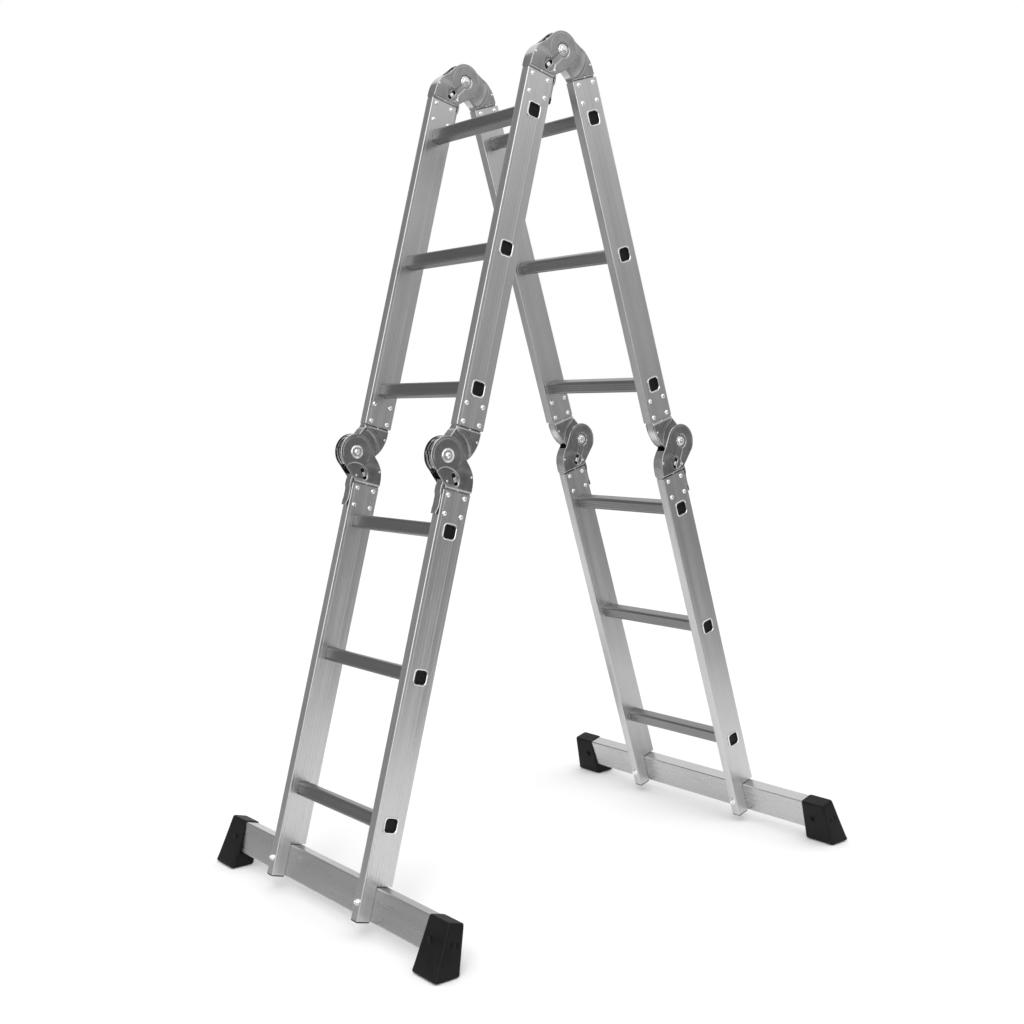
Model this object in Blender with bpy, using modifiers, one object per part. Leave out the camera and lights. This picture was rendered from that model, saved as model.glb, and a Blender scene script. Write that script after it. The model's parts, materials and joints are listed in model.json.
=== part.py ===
"""Multi position ladder: four sections of three rungs joined by six locking hinges.

Metres, +Z up, the floor at z = 0. The ladder stands as an A: the front leg leans to -X, the rear
leg to +X, and the pivots run along Y. Every length along a leg, s, is measured down from the top
pivot.
"""
import bpy
import bmesh
from math import cos, sin, pi, radians, sqrt
from mathutils import Matrix

# Legs
RUNG_PITCH = 0.280
RUNGS_PER_SECTION = 3
SECTION_PITCH = RUNG_PITCH * RUNGS_PER_SECTION
LEG_LENGTH = 1.720
TILT_FRONT = radians(16.33)
TILT_REAR = radians(15.58)

# Rails
OVERALL_WIDTH = 0.350
RAIL_WEB = 0.065
RAIL_THICK = 0.022
RAIL_WALL = 0.0015
RAIL_END_GAP = 0.063
PIVOT_OFFSET = 0.040
RAIL_Y = (OVERALL_WIDTH - RAIL_THICK) / 2
HALF_WEB = RAIL_WEB / 2
FIT = 0.0003

# Rungs
RUNG_SIZE = 0.028
RUNG_RIM = 0.0325
RUNG_BORE = 0.0252
RUNG_CLEAR = 0.0004
RIM_THICK = 0.0022

# Stabilizer bars and their bolts
STRIP = 0.0287
BAR_HEIGHT = 0.065
BAR_THICK = 0.030
BAR_WALL = 0.0018
BAR_HALF = 0.398
BOLT_UP = 0.034
BOLT_HOLE_R = 0.0044

# Shoes
SHOE_IN = 0.349
SHOE_OUT = 0.411
SHOE_FLARE_Y = 0.010
SHOE_TOP_HALF = 0.0175
SHOE_FLARE = 0.0125
SHOE_HALF = SHOE_TOP_HALF + SHOE_FLARE
SHOE_TOP_S = 1.6530
SHOE_EDGE_S = 1.7400
SHOE_SAG = 0.0080
SOLE_RADIUS = (SHOE_HALF * SHOE_HALF + SHOE_SAG * SHOE_SAG) / (2 * SHOE_SAG)

# Hinges
BARREL_R = 0.0375
CORE_R = 0.0220
CHEEK_IN = 0.0118
CHEEK_OUT = 0.0138
PLATE_IN = 0.0092
PLATE_OUT = 0.0112
ARM_WALL = 0.0026
TONGUE_HALF = 0.0090
TONGUE_THICK = 0.0020
TONGUE_REACH = 0.0300
TONGUE_END = 0.108
PIVOT_R = 0.0060
MOUTH = RAIL_END_GAP - FIT
MOUTH_NEAR = PIVOT_OFFSET - HALF_WEB + 0.0006
MOUTH_FAR = PIVOT_OFFSET + HALF_WEB - 0.0006

# Locks
LOCK_ANGLE = radians(34)
LOCK_R = 0.0455
LOCK_PIN_R = 0.0028
SLOT_IN = 0.0405
SLOT_OUT = 0.0585
SLOT_R = 0.0037
LEVER_X = 0.0060
LEVER_Z = -0.0560
LEVER_HALF = 0.0115
LEVER_THICK = 0.0016

# A flat outline is drawn in XY. This turns it to stand in XZ, its thickness along Y.
UPRIGHT = Matrix.Rotation(pi / 2, 4, "X")


# ---- Scene, materials and placing ---------------------------------------------------------------


def clear_scene():
    for obj in list(bpy.data.objects):
        bpy.data.objects.remove(obj, do_unlink=True)


def make_collection(name):
    coll = bpy.data.collections.new(name)
    bpy.context.scene.collection.children.link(coll)
    return coll


def make_material(name, colour, metallic, roughness):
    mat = bpy.data.materials.new(name)
    mat.use_nodes = True
    shader = mat.node_tree.nodes["Principled BSDF"]
    shader.inputs["Base Color"].default_value = (*colour, 1)
    shader.inputs["Metallic"].default_value = metallic
    shader.inputs["Roughness"].default_value = roughness
    mat.diffuse_color = (*colour, 1)
    return mat


clear_scene()
LADDER = make_collection("multi_position_ladder")
CUTTERS = make_collection("cutters")
CUTTERS.hide_render = True
MATERIALS = {
    "rail": make_material("rail_aluminium", (0.78, 0.79, 0.80), 1.0, 0.34),
    "rung": make_material("rung_aluminium", (0.62, 0.63, 0.64), 1.0, 0.38),
    "bar": make_material("bar_aluminium", (0.80, 0.81, 0.82), 1.0, 0.30),
    "shoe": make_material("shoe_rubber", (0.015, 0.015, 0.016), 0.0, 0.55),
    "bolt": make_material("bolt_steel", (0.72, 0.72, 0.73), 1.0, 0.25),
    "pin": make_material("pin_steel", (0.66, 0.66, 0.67), 1.0, 0.28),
    "lever": make_material("lever_steel", (0.34, 0.35, 0.37), 1.0, 0.40),
    "hinge": make_material("hinge_steel", (0.46, 0.47, 0.50), 1.0, 0.36),
}
FRAMES = {}


def add_frame(name, world, parent=None):
    """An empty on a joint's axis, which the pieces of one moving body are parented to."""
    empty = bpy.data.objects.new(name, None)
    empty.empty_display_size = 0.05
    LADDER.objects.link(empty)
    empty.parent = FRAMES[parent][0] if parent else None
    empty.matrix_local = FRAMES[parent][1].inverted() @ world if parent else world
    FRAMES[name] = (empty, world)


def add_piece(name, mesh, material, frame, world):
    """A visible piece on the frame it moves with, placed in the world."""
    if not mesh.materials:
        mesh.materials.append(MATERIALS[material])
    obj = bpy.data.objects.new(name, mesh)
    LADDER.objects.link(obj)
    empty, base = FRAMES[frame]
    obj.parent = empty
    obj.matrix_local = base.inverted() @ world
    return obj


def add_cutter(name, mesh, world=None):
    """A helper for a Boolean, which is drawn as wire and never rendered."""
    obj = bpy.data.objects.new(name, mesh)
    CUTTERS.objects.link(obj)
    obj.matrix_world = world or Matrix.Identity(4)
    obj.hide_render = True
    obj.display_type = "WIRE"
    return obj


# ---- Shapes -------------------------------------------------------------------------------------


def smooth(mesh):
    mesh.shade_smooth()
    mesh.set_sharp_from_angle(angle=radians(35))
    return mesh


def keep(bm, name):
    bmesh.ops.recalc_face_normals(bm, faces=bm.faces)
    mesh = bpy.data.meshes.new(name)
    bm.to_mesh(mesh)
    bm.free()
    return smooth(mesh)


def flat_mesh(name, outlines, half, closed=True):
    """A 2D curve given thickness, as a mesh so that it can be cut: filled, or a strip if left open."""
    curve = bpy.data.curves.new(name, "CURVE")
    curve.dimensions = "2D"
    curve.fill_mode = "BOTH" if closed else "NONE"
    curve.extrude = half
    for outline in outlines:
        spline = curve.splines.new("POLY")
        spline.points.add(len(outline) - 1)
        for point, (x, y) in zip(spline.points, outline):
            point.co = (x, y, 0, 1)
        spline.use_cyclic_u = closed
    drawn = bpy.data.objects.new(name, curve)
    CUTTERS.objects.link(drawn)
    mesh = bpy.data.meshes.new_from_object(drawn)
    bpy.data.objects.remove(drawn)
    bpy.data.curves.remove(curve)
    bm = bmesh.new()
    bm.from_mesh(mesh)
    bpy.data.meshes.remove(mesh)
    bmesh.ops.remove_doubles(bm, verts=bm.verts, dist=1e-6)
    return keep(bm, name)


def box_mesh(name, x, y, z):
    """A cube primitive sized to its (low, high) pairs."""
    bm = bmesh.new()
    size = Matrix.Diagonal((x[1] - x[0], y[1] - y[0], z[1] - z[0], 1))
    centre = Matrix.Translation(((x[0] + x[1]) / 2, (y[0] + y[1]) / 2, (z[0] + z[1]) / 2))
    bmesh.ops.create_cube(bm, size=1, matrix=centre @ size)
    return keep(bm, name)


def cylinder_mesh(name, radius, length, segments):
    """A cylinder primitive about its own Z axis."""
    bm = bmesh.new()
    bmesh.ops.create_cone(
        bm, cap_ends=True, segments=segments, radius1=radius, radius2=radius, depth=length
    )
    return keep(bm, name)


def profile_mesh(name, profile):
    """The (radius, z) line that a Screw turns about Z, from the axis at the top to the axis below."""
    bm = bmesh.new()
    verts = [bm.verts.new((r, 0, z)) for r, z in profile]
    for a, b in zip(verts, verts[1:]):
        bm.edges.new((a, b))
    mesh = bpy.data.meshes.new(name)
    bm.to_mesh(mesh)
    bm.free()
    return mesh


def turn(obj, steps):
    mod = obj.modifiers.new("turned", "SCREW")
    mod.axis = "Z"
    mod.steps = steps
    mod.render_steps = steps
    mod.use_merge_vertices = True
    mod.merge_threshold = 0.00005
    mod.use_smooth_shade = True


def boolean(obj, other, operation="DIFFERENCE"):
    mod = obj.modifiers.new(other.name, "BOOLEAN")
    mod.operation = operation
    mod.solver = "EXACT"
    mod.object = other


def baked(obj, name):
    """The object with its modifiers applied, as a mesh that copies can share."""
    graph = bpy.context.evaluated_depsgraph_get()
    mesh = bpy.data.meshes.new_from_object(obj.evaluated_get(graph))
    mesh.name = name
    mesh.materials.clear()
    return smooth(mesh)


def arc(cx, cz, radius, start, end, count):
    steps = [start + (end - start) * i / count for i in range(count + 1)]
    return [(cx + radius * cos(a), cz + radius * sin(a)) for a in steps]


def chamfered(half_a, half_b, cut):
    """A rectangle with its corners cut, counter-clockwise."""
    a, b = half_a, half_b
    return [
        (a, -b + cut), (a, b - cut), (a - cut, b), (-a + cut, b),
        (-a, b - cut), (-a, -b + cut), (-a + cut, -b), (a - cut, -b),
    ]


def rounded(half, radius):
    """A square with rounded corners."""
    inset = half - radius
    found = []
    for k, (sa, sb) in enumerate(((1, 1), (-1, 1), (-1, -1), (1, -1))):
        found += arc(sa * inset, sb * inset, radius, k * pi / 2, (k + 1) * pi / 2, 3)
    return found


# ---- Where things stand -------------------------------------------------------------------------


def toward(side):
    """The way from the bar's open strip to its notch: +1 or -1 along the leg's x."""
    return 1 if side == "front" else -1


def bar_v(side):
    """The stabilizer bar's centre, outward of the rail centreline: it lies in a notch on the +X side."""
    return toward(side) * (HALF_WEB - STRIP - FIT - BAR_THICK / 2)


def tilt(side):
    return TILT_FRONT if side == "front" else TILT_REAR


def pivot_height(side):
    """The top pivot's height that puts this leg's shoe on the floor: its sole is an arc."""
    centre_s = SHOE_EDGE_S + SHOE_SAG - SOLE_RADIUS
    return centre_s * cos(tilt(side)) - (PIVOT_OFFSET + bar_v(side)) * sin(tilt(side)) + SOLE_RADIUS


HEIGHT = (pivot_height("front") + pivot_height("rear")) / 2


def reach(side):
    """How far out from the top pivot this leg comes: its shoe, or a rail end that keeps its strip."""
    shoe = PIVOT_OFFSET + bar_v(side) + SHOE_HALF
    shoe_reach = SHOE_EDGE_S * sin(tilt(side)) + shoe * cos(tilt(side))
    rail = PIVOT_OFFSET + HALF_WEB if side == "front" else 0
    return max(shoe_reach, LEG_LENGTH * sin(tilt(side)) + rail * cos(tilt(side)))


PIVOT_X = (reach("front") - reach("rear")) / 2


def leg_matrix(side):
    """x towards the other leg, z up the leg, origin on the top pivot at y = 0."""
    turned = Matrix.Rotation(tilt(side), 4, "Y")
    if side == "rear":
        turned = Matrix.Rotation(pi, 4, "Z") @ turned
    return Matrix.Translation((PIVOT_X, 0, HEIGHT)) @ turned


def on_leg(side, x, y, s):
    """A place on a leg, y in the world's sense so that near stays near on both legs."""
    return Matrix.Translation((0, y, 0)) @ leg_matrix(side) @ Matrix.Translation((x, 0, -s))


def hinge_matrix(place, y):
    """x towards the rail centreline, z from the outer arm to the inner arm, origin on the pivot."""
    at = Matrix.Translation((0, y, 0))
    if place == "top":
        return at @ leg_matrix("front") @ Matrix.Rotation(pi, 4, "Z")
    shift = Matrix.Translation((-2 * PIVOT_OFFSET, 0, -SECTION_PITCH))
    return at @ leg_matrix(place) @ shift


def top_inner_matrix(y):
    """The frame of a top hinge's inner arm, which points down the rear leg."""
    return Matrix.Translation((0, y, 0)) @ leg_matrix("rear") @ Matrix.Rotation(pi, 4, "Y")


def rung_stations(section):
    first = 0 if section == "upper" else RUNGS_PER_SECTION
    return [RUNG_PITCH * (0.5 + first + i) for i in range(RUNGS_PER_SECTION)]


NEAR_FAR = (("near", -RAIL_Y), ("far", RAIL_Y))
OUTER_BODY = {"top": "front_upper", "front": "front_lower", "rear": "rear_lower"}
INNER_BODY = {"top": "rear_upper", "front": "front_upper", "rear": "rear_upper"}


def hinge_stem(place):
    return "top" if place == "top" else place + "_mid"


def build_frames():
    """One empty for each moving body, on the axis that it turns about."""
    add_frame("front_upper", leg_matrix("front"))
    add_frame("rear_upper", leg_matrix("rear"), "front_upper")
    add_frame("front_lower", hinge_matrix("front", 0), "front_upper")
    add_frame("rear_lower", hinge_matrix("rear", 0), "rear_upper")
    for place in ("top", "front", "rear"):
        for where, y in NEAR_FAR:
            at = hinge_matrix(place, y) @ Matrix.Translation((LEVER_X, 0, LEVER_Z))
            add_frame(f"{hinge_stem(place)}_lock_{where}", at, OUTER_BODY[place])


# ---- Rails and rungs ----------------------------------------------------------------------------


def rail_mesh(length):
    """A box section about its own centre, z along the rail."""
    outer = chamfered(HALF_WEB, RAIL_THICK / 2, 0.0013)
    inner = chamfered(HALF_WEB - RAIL_WALL, RAIL_THICK / 2 - RAIL_WALL, 0.0006)
    return flat_mesh("rail", [outer, inner], length / 2)


def bolt_hole_cutter(side, where, y):
    """A cylinder through the rail's strip and the stabilizer bar."""
    sideways = Matrix.Rotation(pi / 2, 4, "Y")
    at = on_leg(side, -PIVOT_OFFSET - bar_v(side), y, LEG_LENGTH - BOLT_UP) @ sideways
    return add_cutter(f"cut_{side}_bolt_{where}", cylinder_mesh("bolt_hole", BOLT_HOLE_R, 0.09, 10), at)


def notch_cutter(side, y, where):
    """Takes the inner part of a lower rail's end away, where the bar passes."""
    edge = STRIP - HALF_WEB
    x = sorted((toward(side) * edge, toward(side) * 0.05))
    notch = box_mesh("notch", x, (-0.03, 0.03), (-0.01, BAR_HEIGHT + 0.0012))
    return add_cutter(f"cut_{side}_notch_{where}", notch, on_leg(side, -PIVOT_OFFSET, y, LEG_LENGTH))


def build_rails(bolt_holes):
    spans = {
        "upper": (RAIL_END_GAP, SECTION_PITCH - RAIL_END_GAP),
        "lower": (SECTION_PITCH + RAIL_END_GAP, LEG_LENGTH),
    }
    hole = chamfered(RUNG_SIZE / 2 + RUNG_CLEAR, RUNG_SIZE / 2 + RUNG_CLEAR, 0.0030)
    through = flat_mesh("rung_hole", [hole], OVERALL_WIDTH)
    for section, (s0, s1) in spans.items():
        mesh = rail_mesh(s1 - s0)
        for side in ("front", "rear"):
            body = f"{side}_{section}"
            holes = [
                add_cutter(f"cut_{body}_rung_{i}", through, on_leg(side, -PIVOT_OFFSET, 0, s) @ UPRIGHT)
                for i, s in enumerate(rung_stations(section), 1)
            ]
            for where, y in NEAR_FAR:
                at = on_leg(side, -PIVOT_OFFSET, y, (s0 + s1) / 2)
                rail = add_piece(f"{body}_rail_{where}", mesh, "rail", body, at)
                cutters = list(holes)
                if section == "lower":
                    cutters += [notch_cutter(side, y, where), bolt_holes[side, where]]
                for cutter in cutters:
                    boolean(rail, cutter)


def rung_mesh():
    """A rounded square tube, its ends turned over into a rim outside each rail."""
    web = OVERALL_WIDTH / 2 + FIT
    tip = web + RIM_THICK
    bore = rounded(RUNG_BORE / 2, 0.0052)
    tube = flat_mesh("rung_tube", [rounded(RUNG_SIZE / 2, 0.0065), bore], tip)
    tube = add_cutter("rung_tube", tube, UPRIGHT)
    rim = flat_mesh("rung_rim", [rounded(RUNG_RIM / 2, 0.0080), bore], RIM_THICK / 2)
    for name, way in (("rim_near", -1), ("rim_far", 1)):
        at = Matrix.Translation((0, way * (web + tip) / 2, 0)) @ UPRIGHT
        boolean(tube, add_cutter(name, rim, at), "UNION")
    return baked(tube, "rung")


def build_rungs():
    mesh = rung_mesh()
    for side in ("front", "rear"):
        for section in ("upper", "lower"):
            body = f"{side}_{section}"
            for i, s in enumerate(rung_stations(section)):
                at = on_leg(side, -PIVOT_OFFSET, 0, s) @ UPRIGHT
                add_piece(f"{body}_rung_{i + 1}", mesh, "rung", body, at)


# ---- Stabilizer bars, bolts and shoes -----------------------------------------------------------


def bar_bolt_profile():
    """Head outside the rail's strip, nut on the bar's far face; the strip's outer face is z = 0."""
    back = -STRIP - BAR_THICK - 2 * FIT
    front = FIT
    return profile_mesh("bar_bolt", [
        (0, front + 0.0056), (0.0046, front + 0.0056), (0.0066, front + 0.0040), (0.0066, front),
        (0.0040, front), (0.0040, back), (0.0066, back), (0.0066, back - 0.0036),
        (0.0054, back - 0.0044), (0, back - 0.0044),
    ])


def build_bars(bolt_holes):
    outer = chamfered(BAR_THICK / 2, BAR_HEIGHT / 2, 0.0014)
    inner = chamfered(BAR_THICK / 2 - BAR_WALL, BAR_HEIGHT / 2 - BAR_WALL, 0.0006)
    tube = flat_mesh("stabilizer_bar", [outer, inner], BAR_HALF)
    bolt = bar_bolt_profile()
    for side in ("front", "rear"):
        body = side + "_lower"
        at = on_leg(side, -PIVOT_OFFSET - bar_v(side), 0, LEG_LENGTH - BAR_HEIGHT / 2) @ UPRIGHT
        bar = add_piece(f"{side}_stabilizer_bar", tube, "bar", body, at)
        outward = Matrix.Rotation(-toward(side) * pi / 2, 4, "Y")
        for where, y in NEAR_FAR:
            boolean(bar, bolt_holes[side, where])
            face = -PIVOT_OFFSET - toward(side) * HALF_WEB
            at = on_leg(side, face, y, LEG_LENGTH - BOLT_UP) @ outward
            turn(add_piece(f"{side}_bar_bolt_{where}", bolt, "bolt", body, at), 10)


def shoe_end(y_top, y_low):
    """One end of the shoe: a flat top with cut corners, flaring to a sole that is an arc."""
    cut = 0.0025
    ring = [
        (SHOE_TOP_HALF, y_top, -SHOE_TOP_S - cut), (SHOE_TOP_HALF - cut, y_top, -SHOE_TOP_S),
        (-SHOE_TOP_HALF + cut, y_top, -SHOE_TOP_S), (-SHOE_TOP_HALF, y_top, -SHOE_TOP_S - cut),
        (-SHOE_HALF, y_low, -SHOE_EDGE_S + 0.006),
    ]
    steps = 8
    for i in range(steps + 1):
        x = SHOE_HALF * (2 * i / steps - 1)
        drop = sqrt(SOLE_RADIUS * SOLE_RADIUS - x * x) - SOLE_RADIUS
        ring.append((x, y_low, -SHOE_EDGE_S - SHOE_SAG - drop))
    return [*ring, (SHOE_HALF, y_low, -SHOE_EDGE_S + 0.006)]


def shoe_mesh(way):
    """A flared boot, skinned by hand because its two ends differ in every edge."""
    bm = bmesh.new()
    ends = (
        shoe_end(way * SHOE_IN, way * (SHOE_IN - 0.003)),
        shoe_end(way * SHOE_OUT, way * (SHOE_OUT + SHOE_FLARE_Y)),
    )
    inner, outer = ([bm.verts.new(p) for p in ring] for ring in ends)
    for i, vert in enumerate(inner):
        after = (i + 1) % len(inner)
        bm.faces.new((vert, inner[after], outer[after], outer[i]))
    bm.faces.new(inner)
    bm.faces.new(outer)
    bmesh.ops.triangulate(bm, faces=bm.faces)
    return keep(bm, "shoe")


def shoe_cutters(side, where, way, at):
    """The socket for the bar's end, and two slots in the shoe's own end."""
    half = BAR_THICK / 2 + FIT
    deep = sorted((way * (SHOE_IN - 0.01), way * (BAR_HALF + 0.001)))
    high = (-LEG_LENGTH - FIT, -LEG_LENGTH + BAR_HEIGHT + FIT)
    socket = box_mesh("socket", (-half, half), deep, high)
    found = [add_cutter(f"cut_{side}_socket_{where}", socket, at)]
    y = sorted((way * (SHOE_OUT - 0.004), way * (SHOE_OUT + 0.02)))
    for i, x in enumerate((-0.0065, 0.0065)):
        slot = box_mesh("slot", (x - 0.0021, x + 0.0021), y, (-1.695, -1.677))
        found.append(add_cutter(f"cut_{side}_slot_{where}_{i + 1}", slot, at))
    return found


def build_shoes():
    shoes = {-1: shoe_mesh(-1), 1: shoe_mesh(1)}
    for side in ("front", "rear"):
        at = on_leg(side, -PIVOT_OFFSET - bar_v(side), 0, 0)
        for where, y in NEAR_FAR:
            # The rear leg's frame is turned half round, so its near shoe lies on its own +y side.
            way = 1 if y * toward(side) > 0 else -1
            shoe = add_piece(f"{side}_shoe_{where}", shoes[way], "shoe", side + "_lower", at)
            for cutter in shoe_cutters(side, where, way, at):
                boolean(shoe, cutter)


# ---- Hinges -------------------------------------------------------------------------------------


def flipped(sign, points):
    return [(x, sign * z) for x, z in points]


SHOULDER = [(0.0490, 0.0004), (0.0580, 0.0070), (0.0650, 0.0170), (0.0700, 0.0300), (MOUTH_FAR, 0.0430)]


def plate_outline(sign, radius, start, count):
    """A round barrel plate running out to the rail mouth on the side that sign gives."""
    outline = [*SHOULDER, (MOUTH_FAR, MOUTH), (MOUTH_NEAR, MOUTH), (MOUTH_NEAR - 0.0015, MOUTH - 0.008)]
    return flipped(sign, outline + arc(0, 0, radius, start, radians(346), count))


def wall_outline(sign):
    """The C-shaped wall between the two plates: round the shoulder, the rail mouth and the barrel side."""
    outline = [
        *SHOULDER, (MOUTH_FAR, MOUTH), (MOUTH_NEAR, MOUTH), (MOUTH_NEAR - 0.0015, MOUTH - 0.008),
        (0.0040, 0.0450), (0.0066, 0.0450), (MOUTH_NEAR - 0.0015 + ARM_WALL, MOUTH - 0.009),
        (MOUTH_NEAR + ARM_WALL, MOUTH - 0.0042), (MOUTH_FAR - ARM_WALL, MOUTH - 0.0042),
        (MOUTH_FAR - ARM_WALL, 0.0440), (0.0674, 0.0310), (0.0628, 0.0190), (0.0570, 0.0098),
        (0.0470, 0.0030),
    ]
    return flipped(sign, outline)


def arm_master(name, sign, outline, levels, wall_half, cuts):
    """Two plates, the wall between them and two tongues that go inside the rail, made one body."""
    low, high = levels
    wall = flat_mesh(name + "_wall", [wall_outline(sign)], wall_half)
    arm = add_cutter(name, wall, UPRIGHT)
    plate = flat_mesh(name + "_plate", [outline], (high - low) / 2)
    z = sorted((sign * (RAIL_END_GAP - 0.004), sign * TONGUE_END))
    tongue = box_mesh(
        name + "_tongue",
        (PIVOT_OFFSET - TONGUE_REACH, PIVOT_OFFSET + TONGUE_REACH),
        (-TONGUE_THICK / 2, TONGUE_THICK / 2),
        z,
    )
    for where, way in (("near", -1), ("far", 1)):
        at = Matrix.Translation((0, way * (low + high) / 2, 0)) @ UPRIGHT
        boolean(arm, add_cutter(f"{name}_plate_{where}", plate, at), "UNION")
        at = Matrix.Translation((0, way * (TONGUE_HALF - TONGUE_THICK / 2), 0))
        boolean(arm, add_cutter(f"{name}_tongue_{where}", tongue, at), "UNION")
    for operation, cutter in cuts:
        boolean(arm, cutter, operation)
    return baked(arm, name)


def pivot_hole(name):
    return add_cutter(name, cylinder_mesh(name, PIVOT_R + FIT, 0.06, 18), UPRIGHT)


def slot_cutter():
    """The lock pin's slot, along the line from the pivot at the lock's angle."""
    ux, uz = sin(LOCK_ANGLE), -cos(LOCK_ANGLE)
    heading = LOCK_ANGLE - pi / 2
    low, high = SLOT_IN + SLOT_R, SLOT_OUT - SLOT_R
    outline = arc(ux * high, uz * high, SLOT_R, heading - pi / 2, heading + pi / 2, 4)
    outline += arc(ux * low, uz * low, SLOT_R, heading + pi / 2, heading + 3 * pi / 2, 4)
    return add_cutter("slot", flat_mesh("slot", [outline], 0.03), UPRIGHT)


def outer_arm_mesh():
    """Two cheeks outside the barrel, pointing to -z."""
    outline = plate_outline(-1, BARREL_R, radians(124), 28)
    cuts = [("DIFFERENCE", pivot_hole("outer_hole")), ("DIFFERENCE", slot_cutter())]
    return arm_master("outer_arm", -1, outline, (CHEEK_IN, CHEEK_OUT), 0.0130, cuts)


def inner_arm_mesh():
    """Two plates between the cheeks and a solid core round the pivot, pointing to +z."""
    outline = plate_outline(1, BARREL_R - 0.0007, radians(93), 30)
    core = add_cutter("inner_core", cylinder_mesh("inner_core", CORE_R, 0.0204, 20), UPRIGHT)
    cuts = [("UNION", core), ("DIFFERENCE", pivot_hole("inner_hole"))]
    return arm_master("inner_arm", 1, outline, (PLATE_IN, PLATE_OUT), 0.0102, cuts)


def pivot_bolt_profile():
    """A wide washer and low head at the top, which is the -y face, and a nut at the bottom."""
    face = CHEEK_OUT + FIT
    return profile_mesh("pivot_bolt", [
        (0, face + 0.0058), (0.0066, face + 0.0058), (0.0080, face + 0.0022), (0.0138, face + 0.0014),
        (0.0142, face), (PIVOT_R, face), (PIVOT_R, -face), (0.0098, -face), (0.0078, -face - 0.0018),
        (0.0066, -face - 0.0058), (0, -face - 0.0058),
    ])


def lever_mesh():
    """The lever's bent line, given its width; a Solidify makes it sheet. Its joint's axis is its origin."""
    line = [
        (0.0014, -0.0465), (0.0022, -0.0520), (0.0010, -0.0570), (0.0010, -0.0700),
        (0.0040, -0.0760), (0.0040, -0.0960), (0.0008, -0.1010), (-0.0010, -0.1120),
    ]
    line = [(x - LEVER_X, z - LEVER_Z) for x, z in line]
    return flat_mesh("release_lever", [line], LEVER_HALF, closed=False)


def thicken(obj):
    mod = obj.modifiers.new("sheet", "SOLIDIFY")
    mod.thickness = LEVER_THICK
    mod.offset = -1
    mod.use_even_offset = True


def soften(obj, width):
    mod = obj.modifiers.new("edge", "BEVEL")
    mod.width = width
    mod.segments = 1
    mod.limit_method = "ANGLE"
    mod.angle_limit = radians(60)


def build_hinges():
    outer, inner, bolt, lever = outer_arm_mesh(), inner_arm_mesh(), pivot_bolt_profile(), lever_mesh()
    pin = cylinder_mesh("lock_pin", LOCK_PIN_R, 2 * (CHEEK_OUT + 0.0008), 10)
    pin_spot = Matrix.Translation((LOCK_R * sin(LOCK_ANGLE), 0, -LOCK_R * cos(LOCK_ANGLE)))
    lever_spot = Matrix.Translation((LEVER_X, 0, LEVER_Z))
    for place in ("top", "front", "rear"):
        stem = hinge_stem(place)
        for where, y in NEAR_FAR:
            at = hinge_matrix(place, y)
            inner_at = top_inner_matrix(y) if place == "top" else at
            pin_at, lever_at = at @ pin_spot @ UPRIGHT, at @ lever_spot @ UPRIGHT
            host, lock = OUTER_BODY[place], f"{stem}_lock_{where}"
            add_piece(f"{stem}_outer_arm_{where}", outer, "hinge", host, at @ UPRIGHT)
            add_piece(f"{stem}_inner_arm_{where}", inner, "hinge", INNER_BODY[place], inner_at @ UPRIGHT)
            turn(add_piece(f"{stem}_pivot_bolt_{where}", bolt, "bolt", host, at @ UPRIGHT), 20)
            soften(add_piece(f"{stem}_lock_pin_{where}", pin, "pin", lock, pin_at), 0.0006)
            thicken(add_piece(f"{stem}_release_lever_{where}", lever, "lever", lock, lever_at))


def main():
    build_frames()
    bolt_holes = {
        (side, where): bolt_hole_cutter(side, where, y)
        for side in ("front", "rear")
        for where, y in NEAR_FAR
    }
    build_rails(bolt_holes)
    build_rungs()
    build_bars(bolt_holes)
    build_shoes()
    build_hinges()


main()
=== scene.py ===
"""The looks of the multi position ladder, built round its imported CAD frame.

Every piece is modelled in the frame it belongs to. A leg's frame has x towards the other leg, y along
the rungs, z up the leg and its origin on the top pivot; s is a distance down from there. A hinge's frame
has x towards the rail and z from the outer arm to the inner arm.
"""

import json
from math import atan2, cos, hypot, pi, radians, sin

import bmesh
import bpy
import numpy as np
from mathutils import Euler, Matrix, Vector
from mathutils.geometry import delaunay_2d_cdt


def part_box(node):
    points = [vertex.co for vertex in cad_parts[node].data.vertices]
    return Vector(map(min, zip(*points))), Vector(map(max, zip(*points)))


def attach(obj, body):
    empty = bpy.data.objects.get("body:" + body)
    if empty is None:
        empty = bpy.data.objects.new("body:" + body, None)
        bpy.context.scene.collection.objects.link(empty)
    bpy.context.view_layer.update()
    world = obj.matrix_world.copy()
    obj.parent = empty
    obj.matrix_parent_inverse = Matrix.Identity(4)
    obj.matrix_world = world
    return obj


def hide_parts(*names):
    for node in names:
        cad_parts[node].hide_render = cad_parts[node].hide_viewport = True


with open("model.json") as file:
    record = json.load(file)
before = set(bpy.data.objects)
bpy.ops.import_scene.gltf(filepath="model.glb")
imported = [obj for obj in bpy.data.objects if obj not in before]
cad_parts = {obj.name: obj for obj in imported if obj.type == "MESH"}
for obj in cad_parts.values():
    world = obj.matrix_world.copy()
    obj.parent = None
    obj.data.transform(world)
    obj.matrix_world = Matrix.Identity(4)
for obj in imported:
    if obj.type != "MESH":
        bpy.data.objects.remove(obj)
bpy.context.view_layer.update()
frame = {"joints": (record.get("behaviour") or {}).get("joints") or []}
JOINTS = {joint["name"]: joint for joint in frame["joints"]}

# ---- Sizes, in metres ----

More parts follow.
